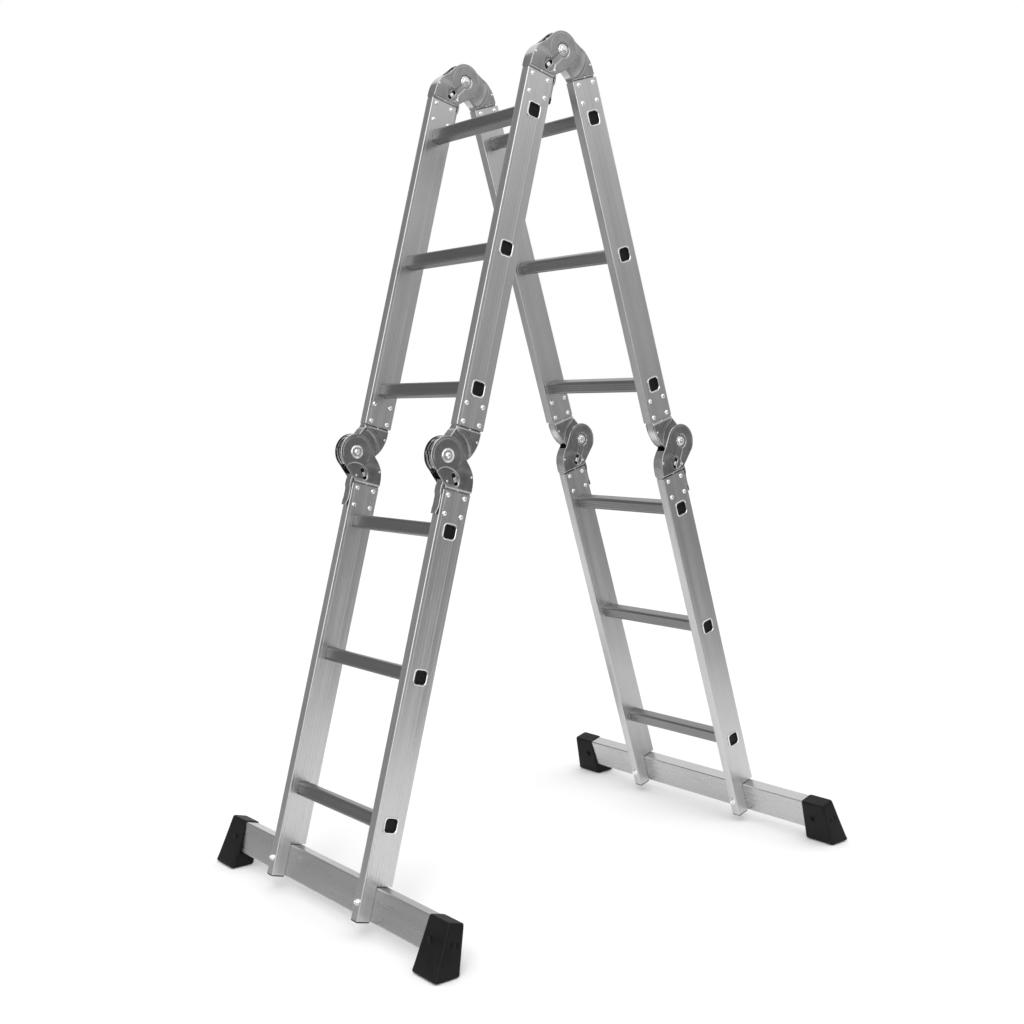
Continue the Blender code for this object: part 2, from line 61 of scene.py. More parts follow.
MM = 0.001
RUNG_PITCH = 0.280
RUNGS = 3
SECTION_PITCH = RUNG_PITCH * RUNGS
LEG_LENGTH = 1.720
PIVOT_OFFSET = 0.040
RAIL_WEB = 0.065
RAIL_THICK = 0.022
RAIL_WALL = 0.0015
RAIL_CORNER = 0.0022
RAIL_END_GAP = 0.063
RAIL_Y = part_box("front_upper_rail_far")[0].y + RAIL_THICK / 2
RAIL_FACE = RAIL_Y + RAIL_THICK / 2
GROOVES = (0.0035, 0.0110, 0.0255)
GROOVE_HALF = 0.0009
GROOVE_DEEP = 0.0003
CUT_HALF = 0.03

RUNG_HALF = 0.0140
RUNG_CORNER = 0.0064
GRIP_MARKS = (-0.0045, 0.0, 0.0045)
GRIP_HALF = 0.0006
GRIP_DEEP = 0.00035
RUNG_BORE = 0.0126
RIM_HALF = 0.01625
HOLE_HALF = 0.0142
HOLE_CORNER = 0.0062

STRIP = 0.0287
BAR_HEIGHT = 0.065
BAR_THICK = 0.030
BAR_WALL = 0.0018
BAR_HALF = 0.398
BOLT_S = LEG_LENGTH - 0.034

SHOE_IN = 0.349
SHOE_OUT = 0.411
SHOE_FLARE_Y = 0.010
SHOE_TOP_HALF = 0.0175
SHOE_FLARE = 0.0125
SHOE_TOP_S = 1.6530
SHOE_EDGE_S = 1.7400
SHOE_HALF = SHOE_TOP_HALF + SHOE_FLARE
SHOE_WIDEN = 0.68
SHOE_SHIFT = 1 - SHOE_WIDEN
SHOE_SLOTS = (-0.0065, 0.0065)
SHOE_SLOT_S = 1.6905
SCREW_S = 1.6925
SCREW_Y = 0.372
SCREW_FLARE = 0.43
SOLE_CROWN = 0.0030

BARREL_R = 0.0375
PLATE_R = 0.0368
CHEEK_FACE = 0.0138
CHEEK_BACK = 0.0118
INNER_FACE = 0.0112
INNER_BACK = 0.0092
TONGUE_FACE = 0.0092
LOCK_ANGLE = radians(34)
SLOT_MID = 0.0490
SLOT_HALF_LENGTH = 0.0125
SLOT_HALF_WIDTH = 0.0042
RIVET_R = 0.0049
RIVET_ROWS = (0.009, 0.045)
RIVET_COLUMN = 0.0195

CAMERA_AT = (-1.8027, -2.3049, 1.0209)
CAMERA_YAW = radians(37.66)
CAMERA_PITCH = radians(-5.36)
CAMERA_ROLL = radians(-1.78)
CAMERA_LENS = 48.36

# ---- Frames ----


def leg_matrix(side):
    """The leg's frame, from where its two pivots stand."""
    top = Vector(JOINTS["top_hinge"]["pos_m"])
    mid = Vector(JOINTS[side + "_mid_hinge"]["pos_m"])
    away = -1 if side == "front" else 1
    tilt = atan2(away * (mid.x - top.x), top.z - mid.z) - atan2(2 * PIVOT_OFFSET, SECTION_PITCH)
    turn = Matrix.Rotation(tilt, 4, "Y")
    if side == "rear":
        turn = Matrix.Rotation(pi, 4, "Z") @ turn
    return Matrix.Translation(top) @ turn


LEG = {side: leg_matrix(side) for side in ("front", "rear")}


def hinge_matrix(place, y):
    """The hinge's frame: its outer arm points to -z with the rail's centreline at x = PIVOT_OFFSET."""
    at = Matrix.Translation((0, y, 0))
    if place == "top":
        return at @ LEG["front"] @ Matrix.Rotation(pi, 4, "Z")
    return at @ LEG[place] @ Matrix.Translation((-2 * PIVOT_OFFSET, 0, -SECTION_PITCH))


def inner_matrix(place, y):
    if place == "top":
        return Matrix.Translation((0, y, 0)) @ LEG["rear"] @ Matrix.Rotation(pi, 4, "Y")
    return hinge_matrix(place, y)


def bar_v(side):
    centre = RAIL_WEB / 2 - STRIP - 0.3 * MM - BAR_THICK / 2
    return centre if side == "front" else -centre


# ---- Materials ----


def set_stops(ramp, stops):
    """Fills a colour ramp from (position, colour) pairs."""
    while len(ramp.elements) < len(stops):
        ramp.elements.new(0.5)
    for element, (at, colour) in zip(ramp.elements, stops):
        element.position = at
        element.color = (*colour, 1)


class Shader:
    """A small helper round one material's node tree."""

    def __init__(self, name, roughness, metallic):
        self.mat = bpy.data.materials.new(name)
        self.mat.use_nodes = True
        self.tree = self.mat.node_tree
        self.main = self.tree.nodes["Principled BSDF"]
        self.main.inputs["Roughness"].default_value = roughness
        self.main.inputs["Metallic"].default_value = metallic
        self.coords = self.tree.nodes.new("ShaderNodeTexCoord").outputs["Object"]

    def link(self, a, b):
        self.tree.links.new(a, b)

    def noise(self, scale, detail=4.0, stretch=(1, 1, 1), rough=0.55):
        mapping = self.tree.nodes.new("ShaderNodeMapping")
        mapping.inputs["Scale"].default_value = stretch
        self.link(self.coords, mapping.inputs["Vector"])
        node = self.tree.nodes.new("ShaderNodeTexNoise")
        node.inputs["Scale"].default_value = scale
        node.inputs["Detail"].default_value = detail
        node.inputs["Roughness"].default_value = rough
        self.link(mapping.outputs["Vector"], node.inputs["Vector"])
        return node.outputs["Fac"]

    def ramp(self, value, stops):
        node = self.tree.nodes.new("ShaderNodeValToRGB")
        set_stops(node.color_ramp, stops)
        self.link(value, node.inputs["Fac"])
        return node.outputs["Color"]

    def span(self, value, low, high):
        node = self.tree.nodes.new("ShaderNodeMapRange")
        node.inputs["From Min"].default_value = 0.3
        node.inputs["From Max"].default_value = 0.7
        node.inputs["To Min"].default_value = low
        node.inputs["To Max"].default_value = high
        self.link(value, node.inputs["Value"])
        return node.outputs["Result"]

    def mix(self, factor, a, b):
        node = self.tree.nodes.new("ShaderNodeMix")
        node.data_type = "RGBA"
        self.link(factor, node.inputs["Factor"])
        self.link(a, node.inputs["A"])
        self.link(b, node.inputs["B"])
        return node.outputs["Result"]

    def bump(self, value, strength, distance, below=None):
        node = self.tree.nodes.new("ShaderNodeBump")
        node.inputs["Strength"].default_value = strength
        node.inputs["Distance"].default_value = distance
        self.link(value, node.inputs["Height"])
        if below:
            self.link(below, node.inputs["Normal"])
        return node.outputs["Normal"]

    def proud_edge_mask(self):
        """The mask for the painted edge highlight: high where an edge stands proud, low in the hollows.
        """
        node = self.tree.nodes.new("ShaderNodeNewGeometry")
        return node.outputs["Pointiness"]


def grey(level, tint=(1.0, 1.0, 1.0)):
    return tuple(level * part for part in tint)


def extruded_aluminium(name, stretch, low=0.56, high=0.66, roughness=0.30):
    """Mill finish: long die streaks with the metal's own grain across them."""
    sh = Shader(name, roughness, 1.0)
    streak = sh.noise(60, 5, stretch, 0.65)
    cloud = sh.noise(5, 3)
    fine = sh.noise(900, 2, tuple(0.25 + 0.75 * s for s in stretch))
    streaks = sh.ramp(streak, ((0.30, grey(low)), (0.70, grey(high))))
    clouds = sh.ramp(cloud, ((0.30, grey(low + 0.02)), (0.75, grey(high + 0.02))))
    sh.link(sh.mix(fine, streaks, clouds), sh.main.inputs["Base Color"])
    sh.link(sh.span(streak, roughness - 0.05, roughness + 0.07), sh.main.inputs["Roughness"])
    rough = sh.bump(fine, 0.08, 0.0001)
    sh.link(sh.bump(streak, 0.08, 0.0002, rough), sh.main.inputs["Normal"])
    return sh.mat


def zinc_plate(name, low, high, roughness):
    """Zinc plated pressing: faint bluish clouds, fine scratches and proud edges painted brighter as a
    highlight.
    """
    sh = Shader(name, roughness, 1.0)
    cloud = sh.noise(38, 5)
    scratch = sh.noise(420, 3, (1, 1, 0.12))
    tones = ((0.32, grey(low, (0.97, 0.98, 1.04))), (0.68, grey(high, (1.0, 1.0, 1.02))))
    clouds = sh.ramp(cloud, tones)
    # painted highlight: where an edge stands proud the colour turns to a much brighter tone
    edges = sh.ramp(sh.proud_edge_mask(), ((0.47, (0, 0, 0)), (0.56, (1, 1, 1))))
    painted_highlight_tone = sh.ramp(cloud, ((0.3, grey(high + 0.24)), (0.7, grey(high + 0.34))))
    sh.link(sh.mix(edges, clouds, painted_highlight_tone), sh.main.inputs["Base Color"])
    sh.link(sh.span(cloud, roughness - 0.04, roughness + 0.08), sh.main.inputs["Roughness"])
    sh.link(sh.bump(scratch, 0.05, 0.0002), sh.main.inputs["Normal"])
    return sh.mat


def black_rubber(name, roughness=0.5, grain=700):
    """Moulded rubber: fine grain, a little dust and a sheen that breaks up."""
    sh = Shader(name, roughness, 0.0)
    cloud = sh.noise(30, 4)
    fine = sh.noise(grain, 3)
    sh.main.inputs["Specular IOR Level"].default_value = 0.16
    dusty = sh.ramp(cloud, ((0.35, grey(0.004)), (0.75, grey(0.009))))
    sh.link(dusty, sh.main.inputs["Base Color"])
    sh.link(sh.span(cloud, roughness - 0.06, roughness + 0.10), sh.main.inputs["Roughness"])
    sh.link(sh.bump(fine, 0.25, 0.0002), sh.main.inputs["Normal"])
    return sh.mat


MATERIALS = {
    "rail": extruded_aluminium("rail_aluminium", (1, 1, 0.02), 0.50, 0.64),
    "rung": extruded_aluminium("rung_aluminium", (1, 0.02, 1), 0.21, 0.29),
    # the rolled rung ends are the same aluminium as the rung, set much brighter: a painted highlight
    "rim": extruded_aluminium("rim_aluminium_painted_highlight", (1, 1, 1), 0.74, 0.84, 0.16),
    "bar": extruded_aluminium("bar_aluminium", (1, 0.02, 1), 0.50, 0.57, 0.27),
    "hinge": zinc_plate("hinge_steel", 0.15, 0.26, 0.20),
    # the lever's steel is set much darker than the hinge steel: painted shade from the rail it sits
    # close to
    "lever": zinc_plate("lever_steel", 0.07, 0.12, 0.34),
    "bolt": zinc_plate("bolt_steel", 0.52, 0.66, 0.20),
    "rivet": zinc_plate("rivet_aluminium", 0.60, 0.72, 0.22),
    "rubber": black_rubber("shoe_rubber"),
    "plug": black_rubber("plug_plastic", 0.42, 900),
    # near-black block seen through the lock slot: painted shade for the inside of the barrel
    "shade_black": black_rubber("slot_shade_black", 0.6, 500),
}

# ---- Mesh tools ----


def add_object(name, data):
    obj = bpy.data.objects.new(name, data)
    bpy.context.scene.collection.objects.link(obj)
    return obj


def baked(mesh, name, *modifiers):
    """The mesh after these modifiers, each given as its type and its settings."""
    obj = add_object(name, mesh)
    for kind, settings in modifiers:
        modifier = obj.modifiers.new(kind.lower(), kind)
        for key, value in settings.items():
            setattr(modifier, key, value)
    graph = bpy.context.evaluated_depsgraph_get()
    found = bpy.data.meshes.new_from_object(obj.evaluated_get(graph))
    found.name = name
    bpy.data.objects.remove(obj)
    return found


def shaded(mesh, name, sharp):
    """Smooth shading that leaves flat faces flat, with an edge where the faces turn more than sharp."""
    mesh.shade_smooth()
    mesh.set_sharp_from_angle(angle=radians(sharp))
    return baked(mesh, name, ("WEIGHTED_NORMAL", {"keep_sharp": True}))


def finish_mesh(bm, name, sharp=32):
    bmesh.ops.recalc_face_normals(bm, faces=bm.faces)
    mesh = bpy.data.meshes.new(name)
    bm.to_mesh(mesh)
    bm.free()
    return shaded(mesh, name, sharp)


def put(name, mesh, look, matrix, body, stands_for=()):
    """Adds a piece, gives it its look and lets it ride on its CAD body."""
    obj = add_object(name, mesh)
    obj.matrix_world = matrix
    mesh.materials.clear()
    mesh.materials.append(MATERIALS[look])
    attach(obj, body)
    if stands_for:
        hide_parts(*stands_for)
    return obj


def add_loft(bm, rings, loop=False, caps=True):
    """Skins rings of equal count; with loop the last ring meets the first."""
    rows = [[bm.verts.new(p) for p in ring] for ring in rings]
    pairs = list(zip(rows, rows[1:]))
    if loop:
        pairs.append((rows[-1], rows[0]))
    for a, b in pairs:
        for i in range(len(a)):
            j = (i + 1) % len(a)
            bm.faces.new((a[i], a[j], b[j], b[i]))
    if caps and not loop:
        bm.faces.new(rows[0])
        bm.faces.new(rows[-1])
    return rows


def add_lathe(bm, profile, count, matrix=None):
    """Turns (radius, height) steps about the local Y axis; a radius of zero closes an end."""
    matrix = matrix or Matrix.Identity(4)
    turn = [2 * pi * i / count for i in range(count)]
    rows = []
    for radius, y in profile:
        points = [Vector((radius * cos(a), y, radius * sin(a))) for a in (turn if radius else turn[:1])]
        rows.append([bm.verts.new(matrix @ p) for p in points])
    for a, b in zip(rows, rows[1:]):
        for i in range(count):
            j = (i + 1) % count
            corners = [a[i % len(a)], a[j % len(a)], b[j % len(b)], b[i % len(b)]]
            unique = list(dict.fromkeys(corners))
            bm.faces.new(unique)


def arc(cx, cz, radius, start, end, count):
    steps = [start + (end - start) * i / count for i in range(count + 1)]
    return [(cx + radius * cos(a), cz + radius * sin(a)) for a in steps]


def corner_arcs(half_a, half_b, radius, steps):
    """A rounded rectangle as its four corners in turn, each a list of points."""
    corners = []
    for k, (sa, sb) in enumerate(((1, 1), (-1, 1), (-1, -1), (1, -1))):
        a, b = sa * (half_a - radius), sb * (half_b - radius)
        corners.append(arc(a, b, radius, k * pi / 2, (k + 1) * pi / 2, steps))
    return corners


def rounded_rect(half_a, half_b, radius, steps):
    return [p for corner in corner_arcs(half_a, half_b, radius, steps) for p in corner]


def smooth(value, low, high):
    t = np.clip((value - low) / (high - low), 0, 1)
    return t * t * (3 - 2 * t)


def box_mesh(bm, low, high):
    add_loft(bm, [[(x, y, z) for x, z in (
        (low[0], low[2]), (high[0], low[2]), (high[0], high[2]), (low[0], high[2]),
    )] for y in (low[1], high[1])])


def cut(mesh, cutter_mesh, name, sharp=32):
    """The first mesh less the second, both in the same frame."""
    tool = add_object(name + "_cutter", cutter_mesh)
    settings = {"operation": "DIFFERENCE", "solver": "EXACT", "object": tool}
    result = baked(mesh, name, ("BOOLEAN", settings))
    bpy.data.objects.remove(tool)
    return shaded(result, name, sharp)


# ---- Rails ----


def rail_outline():
    """The rail's outer section: rounded corners and shallow grooves down both webs."""
    marks = sorted([-g for g in GROOVES] + list(GROOVES))
    found = []
    for k, corner in enumerate(corner_arcs(RAIL_WEB / 2, RAIL_THICK / 2, RAIL_CORNER, 4)):
        found += corner
        if k in (1, 3):
            continue
        way = k - 1
        for mark in marks[::way]:
            for step, deep in ((-1, 0), (-0.35, 1), (0.35, 1), (1, 0)):
                x = mark + way * step * GROOVE_HALF
                found.append((x, -way * (RAIL_THICK / 2 - deep * GROOVE_DEEP)))
    return found


def rail_tube(s0, s1):
    """The open box section between two places down the leg, its outer edges broken."""
    half_x, half_y = RAIL_WEB / 2, RAIL_THICK / 2
    edge = 0.25 * MM
    outer = rail_outline()
    soft = [(x * (1 - edge / half_x), y * (1 - edge / half_y)) for x, y in outer]
    inner = []
    for x, y in outer:
        bore = min(abs(y) * (half_y - RAIL_WALL) / half_y, half_y - RAIL_WALL - GROOVE_DEEP)
        inner.append((x * (half_x - RAIL_WALL) / half_x, np.sign(y) * bore))
    rings = []
    for ring, s in (
        (soft, s0), (outer, s0 + edge), (outer, s1 - edge), (soft, s1), (inner, s1), (inner, s0),
    ):
        rings.append([(x - PIVOT_OFFSET, y, -s) for x, y in ring])
    bm = bmesh.new()
    add_loft(bm, rings, loop=True)
    return finish_mesh(bm, "rail")


def rail_cutter(side, section):
    """A prism for each rung's hole and, at the foot, a box for the notch that the bar stands in."""
    first = 0 if section == "upper" else RUNGS
    hole = rounded_rect(HOLE_HALF, HOLE_HALF, HOLE_CORNER, 5)
    bm = bmesh.new()
    for i in range(first, first + RUNGS):
        s = RUNG_PITCH * (0.5 + i)
        ends = (-CUT_HALF, CUT_HALF)
        add_loft(bm, [[(x - PIVOT_OFFSET, y, z - s) for x, z in hole] for y in ends])
    if section == "lower":
        toward = 1 if side == "front" else -1
        edge_x = -PIVOT_OFFSET - toward * (RAIL_WEB / 2 - STRIP)
        low, high = sorted((edge_x, edge_x + toward * 2 * CUT_HALF))
        top = LEG_LENGTH - BAR_HEIGHT - 1.2 * MM
        box_mesh(bm, (low, -CUT_HALF, -LEG_LENGTH - 0.01), (high, CUT_HALF, -top))
    return finish_mesh(bm, "cutter")


def rail_mesh(side, section):
    s0 = RAIL_END_GAP if section == "upper" else SECTION_PITCH + RAIL_END_GAP
    s1 = SECTION_PITCH - RAIL_END_GAP if section == "upper" else LEG_LENGTH
    return cut(rail_tube(s0, s1), rail_cutter(side, section), f"{side}_{section}_rail")


def build_rails():
    for side in ("front", "rear"):
        for section in ("upper", "lower"):
            mesh = rail_mesh(side, section)
            for where, y in (("near", -RAIL_Y), ("far", RAIL_Y)):
                node = f"{side}_{section}_rail_{where}"
                at = Matrix.Translation((0, y, 0)) @ LEG[side]
                put("rail_" + node, mesh.copy(), "rail", at, f"{side}_{section}", [node])


# ---- Rungs and their plugs ----


def rung_section(half, radius, groove):
    """A rounded square with three fine grip grooves in each face."""
    found = []
    for k, corner in enumerate(corner_arcs(half, half, radius, 5)):
        found += corner
        turn = (k + 1) * pi / 2
        along = Vector((-sin(turn), cos(turn)))
        out = Vector((cos(turn), sin(turn)))
        for mark in GRIP_MARKS:
            for step, deep in ((-GRIP_HALF, 0), (0, 1), (GRIP_HALF, 0)):
                p = out * (half - deep * groove) + along * (mark + step)
                found.append((p.x, p.y))
    return found


def rung_mesh():
    """Centred on the leg's centreline at s = 0; its ends are rolled over outside the webs."""
    rim = (
        (RUNG_HALF, RUNG_CORNER, 0), (RIM_HALF - 0.0004, 0.0083, 0.0001), (RIM_HALF, 0.0085, 0.0009),
        (RIM_HALF - 0.0004, 0.0083, 0.0018), (RIM_HALF - 0.0013, 0.0078, 0.0024),
        (RIM_HALF - 0.0023, 0.0070, 0.0023), (RIM_HALF - 0.0031, RUNG_CORNER, 0.0016),
        (RUNG_BORE, 0.0058, 0.0004),
    )
    between = RAIL_Y - RAIL_THICK / 2
    steps = [(half, radius, -RAIL_FACE - out, 0) for half, radius, out in reversed(rim)]
    steps += [(RUNG_HALF, RUNG_CORNER, y, GRIP_DEEP) for y in (-between, between)]
    steps += [(half, radius, RAIL_FACE + out, 0) for half, radius, out in rim]
    rings = []
    for half, radius, y, groove in steps:
        rings.append([(x - PIVOT_OFFSET, y, z) for x, z in rung_section(half, radius, groove)])
    bm = bmesh.new()
    add_loft(bm, rings, loop=True)
    return finish_mesh(bm, "rung")


def plug_mesh(way):
    """A dished cap pushed into the rung's end, with a collar inside the bore."""
    face = RAIL_FACE + 0.0012
    steps = (
        (0.0120, 0.0054, -0.012), (0.0122, 0.0056, -0.0006), (0.0121, 0.0056, 0.0001),
        (0.0115, 0.0052, 0.0006), (0.0106, 0.0046, 0.0004), (0.0100, 0.0042, -0.0008),
        (0.0094, 0.0038, -0.0020), (0.0060, 0.0025, -0.0024),
    )
    rings = []
    for half, radius, y in steps:
        section = rounded_rect(half, half, radius, 5)
        rings.append([(x - PIVOT_OFFSET, way * (face + y), z) for x, z in section])
    bm = bmesh.new()
    add_loft(bm, rings)
    return finish_mesh(bm, "plug", 40)


def build_rungs():
    rung = rung_mesh()
    plugs = {"near": plug_mesh(-1), "far": plug_mesh(1)}
    for side in ("front", "rear"):
        for k, section in enumerate(("upper", "lower")):
            for i in range(RUNGS):
                s = RUNG_PITCH * (0.5 + k * RUNGS + i)
                at = LEG[side] @ Matrix.Translation((0, 0, -s))
                node = f"{side}_{section}_rung_{i + 1}"
                body = f"{side}_{section}"
                tube = put("tube_" + node, rung.copy(), "rung", at, body, [node])
                # faces outside the rails' webs take the brighter rim tone, a painted highlight on the
                # rolled ends
                tube.data.materials.append(MATERIALS["rim"])
                for face in tube.data.polygons:
                    face.material_index = int(abs(face.center.y) > RAIL_FACE)
                for where, plug in plugs.items():
                    put(f"plug_{node}_{where}", plug.copy(), "plug", at, body)


# ---- Stabilizer bars, bolts, caps and shoes ----


def bar_mesh():
    outer = rounded_rect(BAR_THICK / 2, BAR_HEIGHT / 2, 0.0032, 5)
    inner = rounded_rect(BAR_THICK / 2 - BAR_WALL, BAR_HEIGHT / 2 - BAR_WALL, 0.0016, 5)
    rings = [[(x, y, z) for x, z in ring] for ring, y in (
        (outer, -BAR_HALF), (outer, BAR_HALF), (inner, BAR_HALF), (inner, -BAR_HALF),
    )]
    bm = bmesh.new()
    add_loft(bm, rings, loop=True)
    return finish_mesh(bm, "bar")


def bolt_mesh():
    """Washer, hex nut and thread end outside the rail's flange, a domed head behind the bar."""
    bm = bmesh.new()
    washer = ((0, 0), (0.0070, 0), (0.0072, 0.0003), (0.0070, 0.0012), (0.0045, 0.0013), (0, 0.0013))
    add_lathe(bm, washer, 28)
    hexagon = arc(0, 0, 0.0058, 0, 2 * pi * 5 / 6, 5)
    rings = []
    for scale, y in ((1, 0.0013), (1, 0.0044), (0.93, 0.0050)):
        rings.append([(x * scale, y, z * scale) for x, z in hexagon])
    add_loft(bm, rings)
    thread = [(0.0030 - (i % 2) * 0.0003, 0.0045 + 0.0005 * i) for i in range(6)]
    add_lathe(bm, ((0, 0.0045), *thread, (0.0022, 0.0078), (0, 0.0080)), 18)
    back = -(STRIP + BAR_THICK + 0.0006)
    add_lathe(bm, ((0.0040, 0), (0.0040, back)), 16)
    head = (
        (0, back), (0.0072, back), (0.0072, back - 0.0006), (0.0060, back - 0.0026),
        (0.0034, back - 0.0038), (0, back - 0.0042),
    )
    add_lathe(bm, head, 28)
    return finish_mesh(bm, "bolt", 28)


def cap_mesh():
    """A thin moulded cap on the end of the strip that the rail's notch leaves."""
    section = rounded_rect(STRIP / 2, RAIL_THICK / 2, 0.0022, 4)
    bm = bmesh.new()
    rings = []
    for scale, z in ((0.90, 0.004), (0.90, 0.0001), (1.0, 0.0), (1.0, -0.0016), (0.95, -0.0022)):
        rings.append([(x * scale, y * scale, z) for x, y in section])
    add_loft(bm, rings)
    return finish_mesh(bm, "cap", 40)


def floor_s(side, x):
    """How far down the leg the floor is, at x in the leg's frame."""
    level = LEG[side].translation.z
    across, up = LEG[side][2][0], LEG[side][2][2]
    return (level + across * x) / up


def shoe_ring(side, way, x0, t, inset, drop):
    """One level of the boot, t = 0 at its top and 1 at its sole, which lies along the floor."""
    spread = SHOE_FLARE * t ** 1.12
    half_x = SHOE_TOP_HALF + SHOE_WIDEN * spread - inset
    y_in = SHOE_IN - 0.003 * t
    y_out = SHOE_OUT + SHOE_FLARE_Y * t
    ring = []
    for x, y in rounded_rect(half_x, (y_out - y_in) / 2 - inset, 0.0052 - inset / 2, 5):
        x -= SHOE_SHIFT * spread
        crown = SOLE_CROWN * (x / SHOE_HALF) ** 2
        low = floor_s(side, x0 + x) - 0.5 * MM - crown
        s = SHOE_TOP_S + (low - SHOE_TOP_S) * t + drop
        ring.append((x, way * ((y_in + y_out) / 2 + y), -s))
    return ring


def shoe_cutter(way):
    """A box where the bar goes in, and two prisms for the slots in the boot's end."""
    gap = 0.3 * MM
    deep = sorted((way * (SHOE_IN - 0.01), way * (BAR_HALF + 0.001)))
    low = (-BAR_THICK / 2 - gap, deep[0], -LEG_LENGTH - gap)
    high = (BAR_THICK / 2 + gap, deep[1], -LEG_LENGTH + BAR_HEIGHT + gap)
    bm = bmesh.new()
    box_mesh(bm, low, high)
    ends = sorted((way * (SHOE_OUT - 0.002), way * (SHOE_OUT + 0.02)))
    slot = rounded_rect(0.0020, 0.0055, 0.0019, 4)
    for x in SHOE_SLOTS:
        add_loft(bm, [[(x + a, y, b - SHOE_SLOT_S) for a, b in slot] for y in ends])
    return finish_mesh(bm, "cutter")


def shoe_mesh(side, way):
    """A flared boot with soft edges, cut for the bar and for two slots in its end."""
    x0 = -PIVOT_OFFSET - bar_v(side)
    levels = [(0, 0.0034, 0), (0, 0.0010, 0.0009), (0, 0, 0.0034)]
    levels += [(k / 9, 0, 0) for k in range(1, 9)]
    levels += [(1, 0, -0.0030), (1, 0.0009, -0.0009), (1, 0.0030, 0)]
    bm = bmesh.new()
    add_loft(bm, [shoe_ring(side, way, x0, *level) for level in levels])
    return cut(finish_mesh(bm, "shoe", 50), shoe_cutter(way), "shoe", 50)


def shoe_screw_mesh():
    """A domed head with a shallow recess, the screw that holds the shoe on the bar."""
    steps = (
        (0.0060, -0.0015), (0.0058, 0.0004), (0.0044, 0.0014), (0.0022, 0.0016), (0.0016, 0.0009),
        (0, 0.0010),
    )
    bm = bmesh.new()
    add_lathe(bm, [(r, -y) for r, y in steps], 28)
    return finish_mesh(bm, "screw", 30)


def screw_place(toward, way, x0):
    """On the shoe's flared face, turned to stand square on it."""
    lean = Matrix.Rotation(-toward * atan2(SHOE_FLARE, SHOE_EDGE_S - SHOE_TOP_S), 4, "Y")
    x = x0 - toward * (SHOE_TOP_HALF + SCREW_FLARE * SHOE_FLARE)
    spot = Matrix.Translation((x, way * SCREW_Y, -SCREW_S)) @ lean
    return spot @ Matrix.Rotation(-toward * pi / 2, 4, "Z")


def build_foot(side, where, way, x0, meshes):
    """The bolt, the rail's cap, the shoe and its screw at one end of the leg's bar."""
    body = side + "_lower"
    toward = 1 if side == "front" else -1
    on_rail = Matrix.Translation((0, way * RAIL_Y, 0)) @ LEG[side]
    flange = -PIVOT_OFFSET - toward * RAIL_WEB / 2
    facing = Matrix.Rotation(toward * pi / 2, 4, "Z")
    at = on_rail @ Matrix.Translation((flange, 0, -BOLT_S)) @ facing
    node = f"{side}_bar_bolt_{where}"
    put("set_" + node, meshes["bolt"].copy(), "bolt", at, body, [node])
    at = on_rail @ Matrix.Translation((flange + toward * STRIP / 2, 0, -LEG_LENGTH))
    put(f"cap_{side}_rail_{where}", meshes["cap"].copy(), "plug", at, body)
    leg_way = toward * way
    node = f"{side}_shoe_{where}"
    at = LEG[side] @ Matrix.Translation((x0, 0, 0))
    put("boot_" + node, shoe_mesh(side, leg_way), "rubber", at, body, [node])
    at = LEG[side] @ screw_place(toward, leg_way, x0)
    put(f"screw_{side}_shoe_{where}", meshes["screw"].copy(), "rubber", at, body)


def build_feet():
    bar = bar_mesh()
    meshes = {"bolt": bolt_mesh(), "cap": cap_mesh(), "screw": shoe_screw_mesh()}
    for side in ("front", "rear"):
        x0 = -PIVOT_OFFSET - bar_v(side)
        middle = Matrix.Translation((x0, 0, -LEG_LENGTH + BAR_HEIGHT / 2))
        node = side + "_stabilizer_bar"
        put("tube_" + node, bar.copy(), "bar", LEG[side] @ middle, side + "_lower", [node])
        for where, way in (("near", -1), ("far", 1)):
            build_foot(side, where, way, x0, meshes)


# ---- Hinges ----

MOUTH = RAIL_END_GAP
NEAR_X = PIVOT_OFFSET - RAIL_WEB / 2 + 0.6 * MM
FAR_X = PIVOT_OFFSET + RAIL_WEB / 2 - 0.6 * MM
TONGUE_LOW = PIVOT_OFFSET - 0.0295
TONGUE_HIGH = PIVOT_OFFSET + 0.0295
SHOULDER_END = 0.0560
WALL_END = 0.0626
TONGUE_START = 0.0640
TONGUE_END = 0.0760
TANGENT = radians(41)
OUTER_SHOULDER = (
    (0.0484, -0.0015), (0.0560, -0.0085), (0.0638, -0.0185), (0.0688, -0.0300), (0.0712, -0.0420),
    (FAR_X, -SHOULDER_END),
)
INNER_SHOULDER = (
    (0.0484, 0.0015), (0.0550, 0.0110), (0.0604, 0.0220), (0.0640, 0.0330), (0.0658, 0.0440),
    (0.0664, SHOULDER_END),
)
MOUTH_WALL = (
    (NEAR_X, -WALL_END), (NEAR_X, -SHOULDER_END), (0.0052, -0.0525), (0.0030, -0.0490),
)
PLATE_GRID = 1.25 * MM
EDGE_SOFT = 1.7 * MM
WALL_THICK = 2.2 * MM


def curve_through(knots, steps):
    """A smooth line through the knots."""
    knots = [Vector(p) for p in knots]
    found = []
    for i in range(len(knots) - 1):
        a, b, c, d = (knots[min(max(k, 0), len(knots) - 1)] for k in (i - 1, i, i + 1, i + 2))
        for k in range(steps):
            t = k / steps
            bend = (2 * a - 5 * b + 4 * c - d) * t * t
            twist = (3 * b - a - 3 * c + d) * t ** 3
            p = 0.5 * (2 * b + (c - a) * t + bend + twist)
            found.append((p.x, p.y))
    return [*found, tuple(knots[-1])]


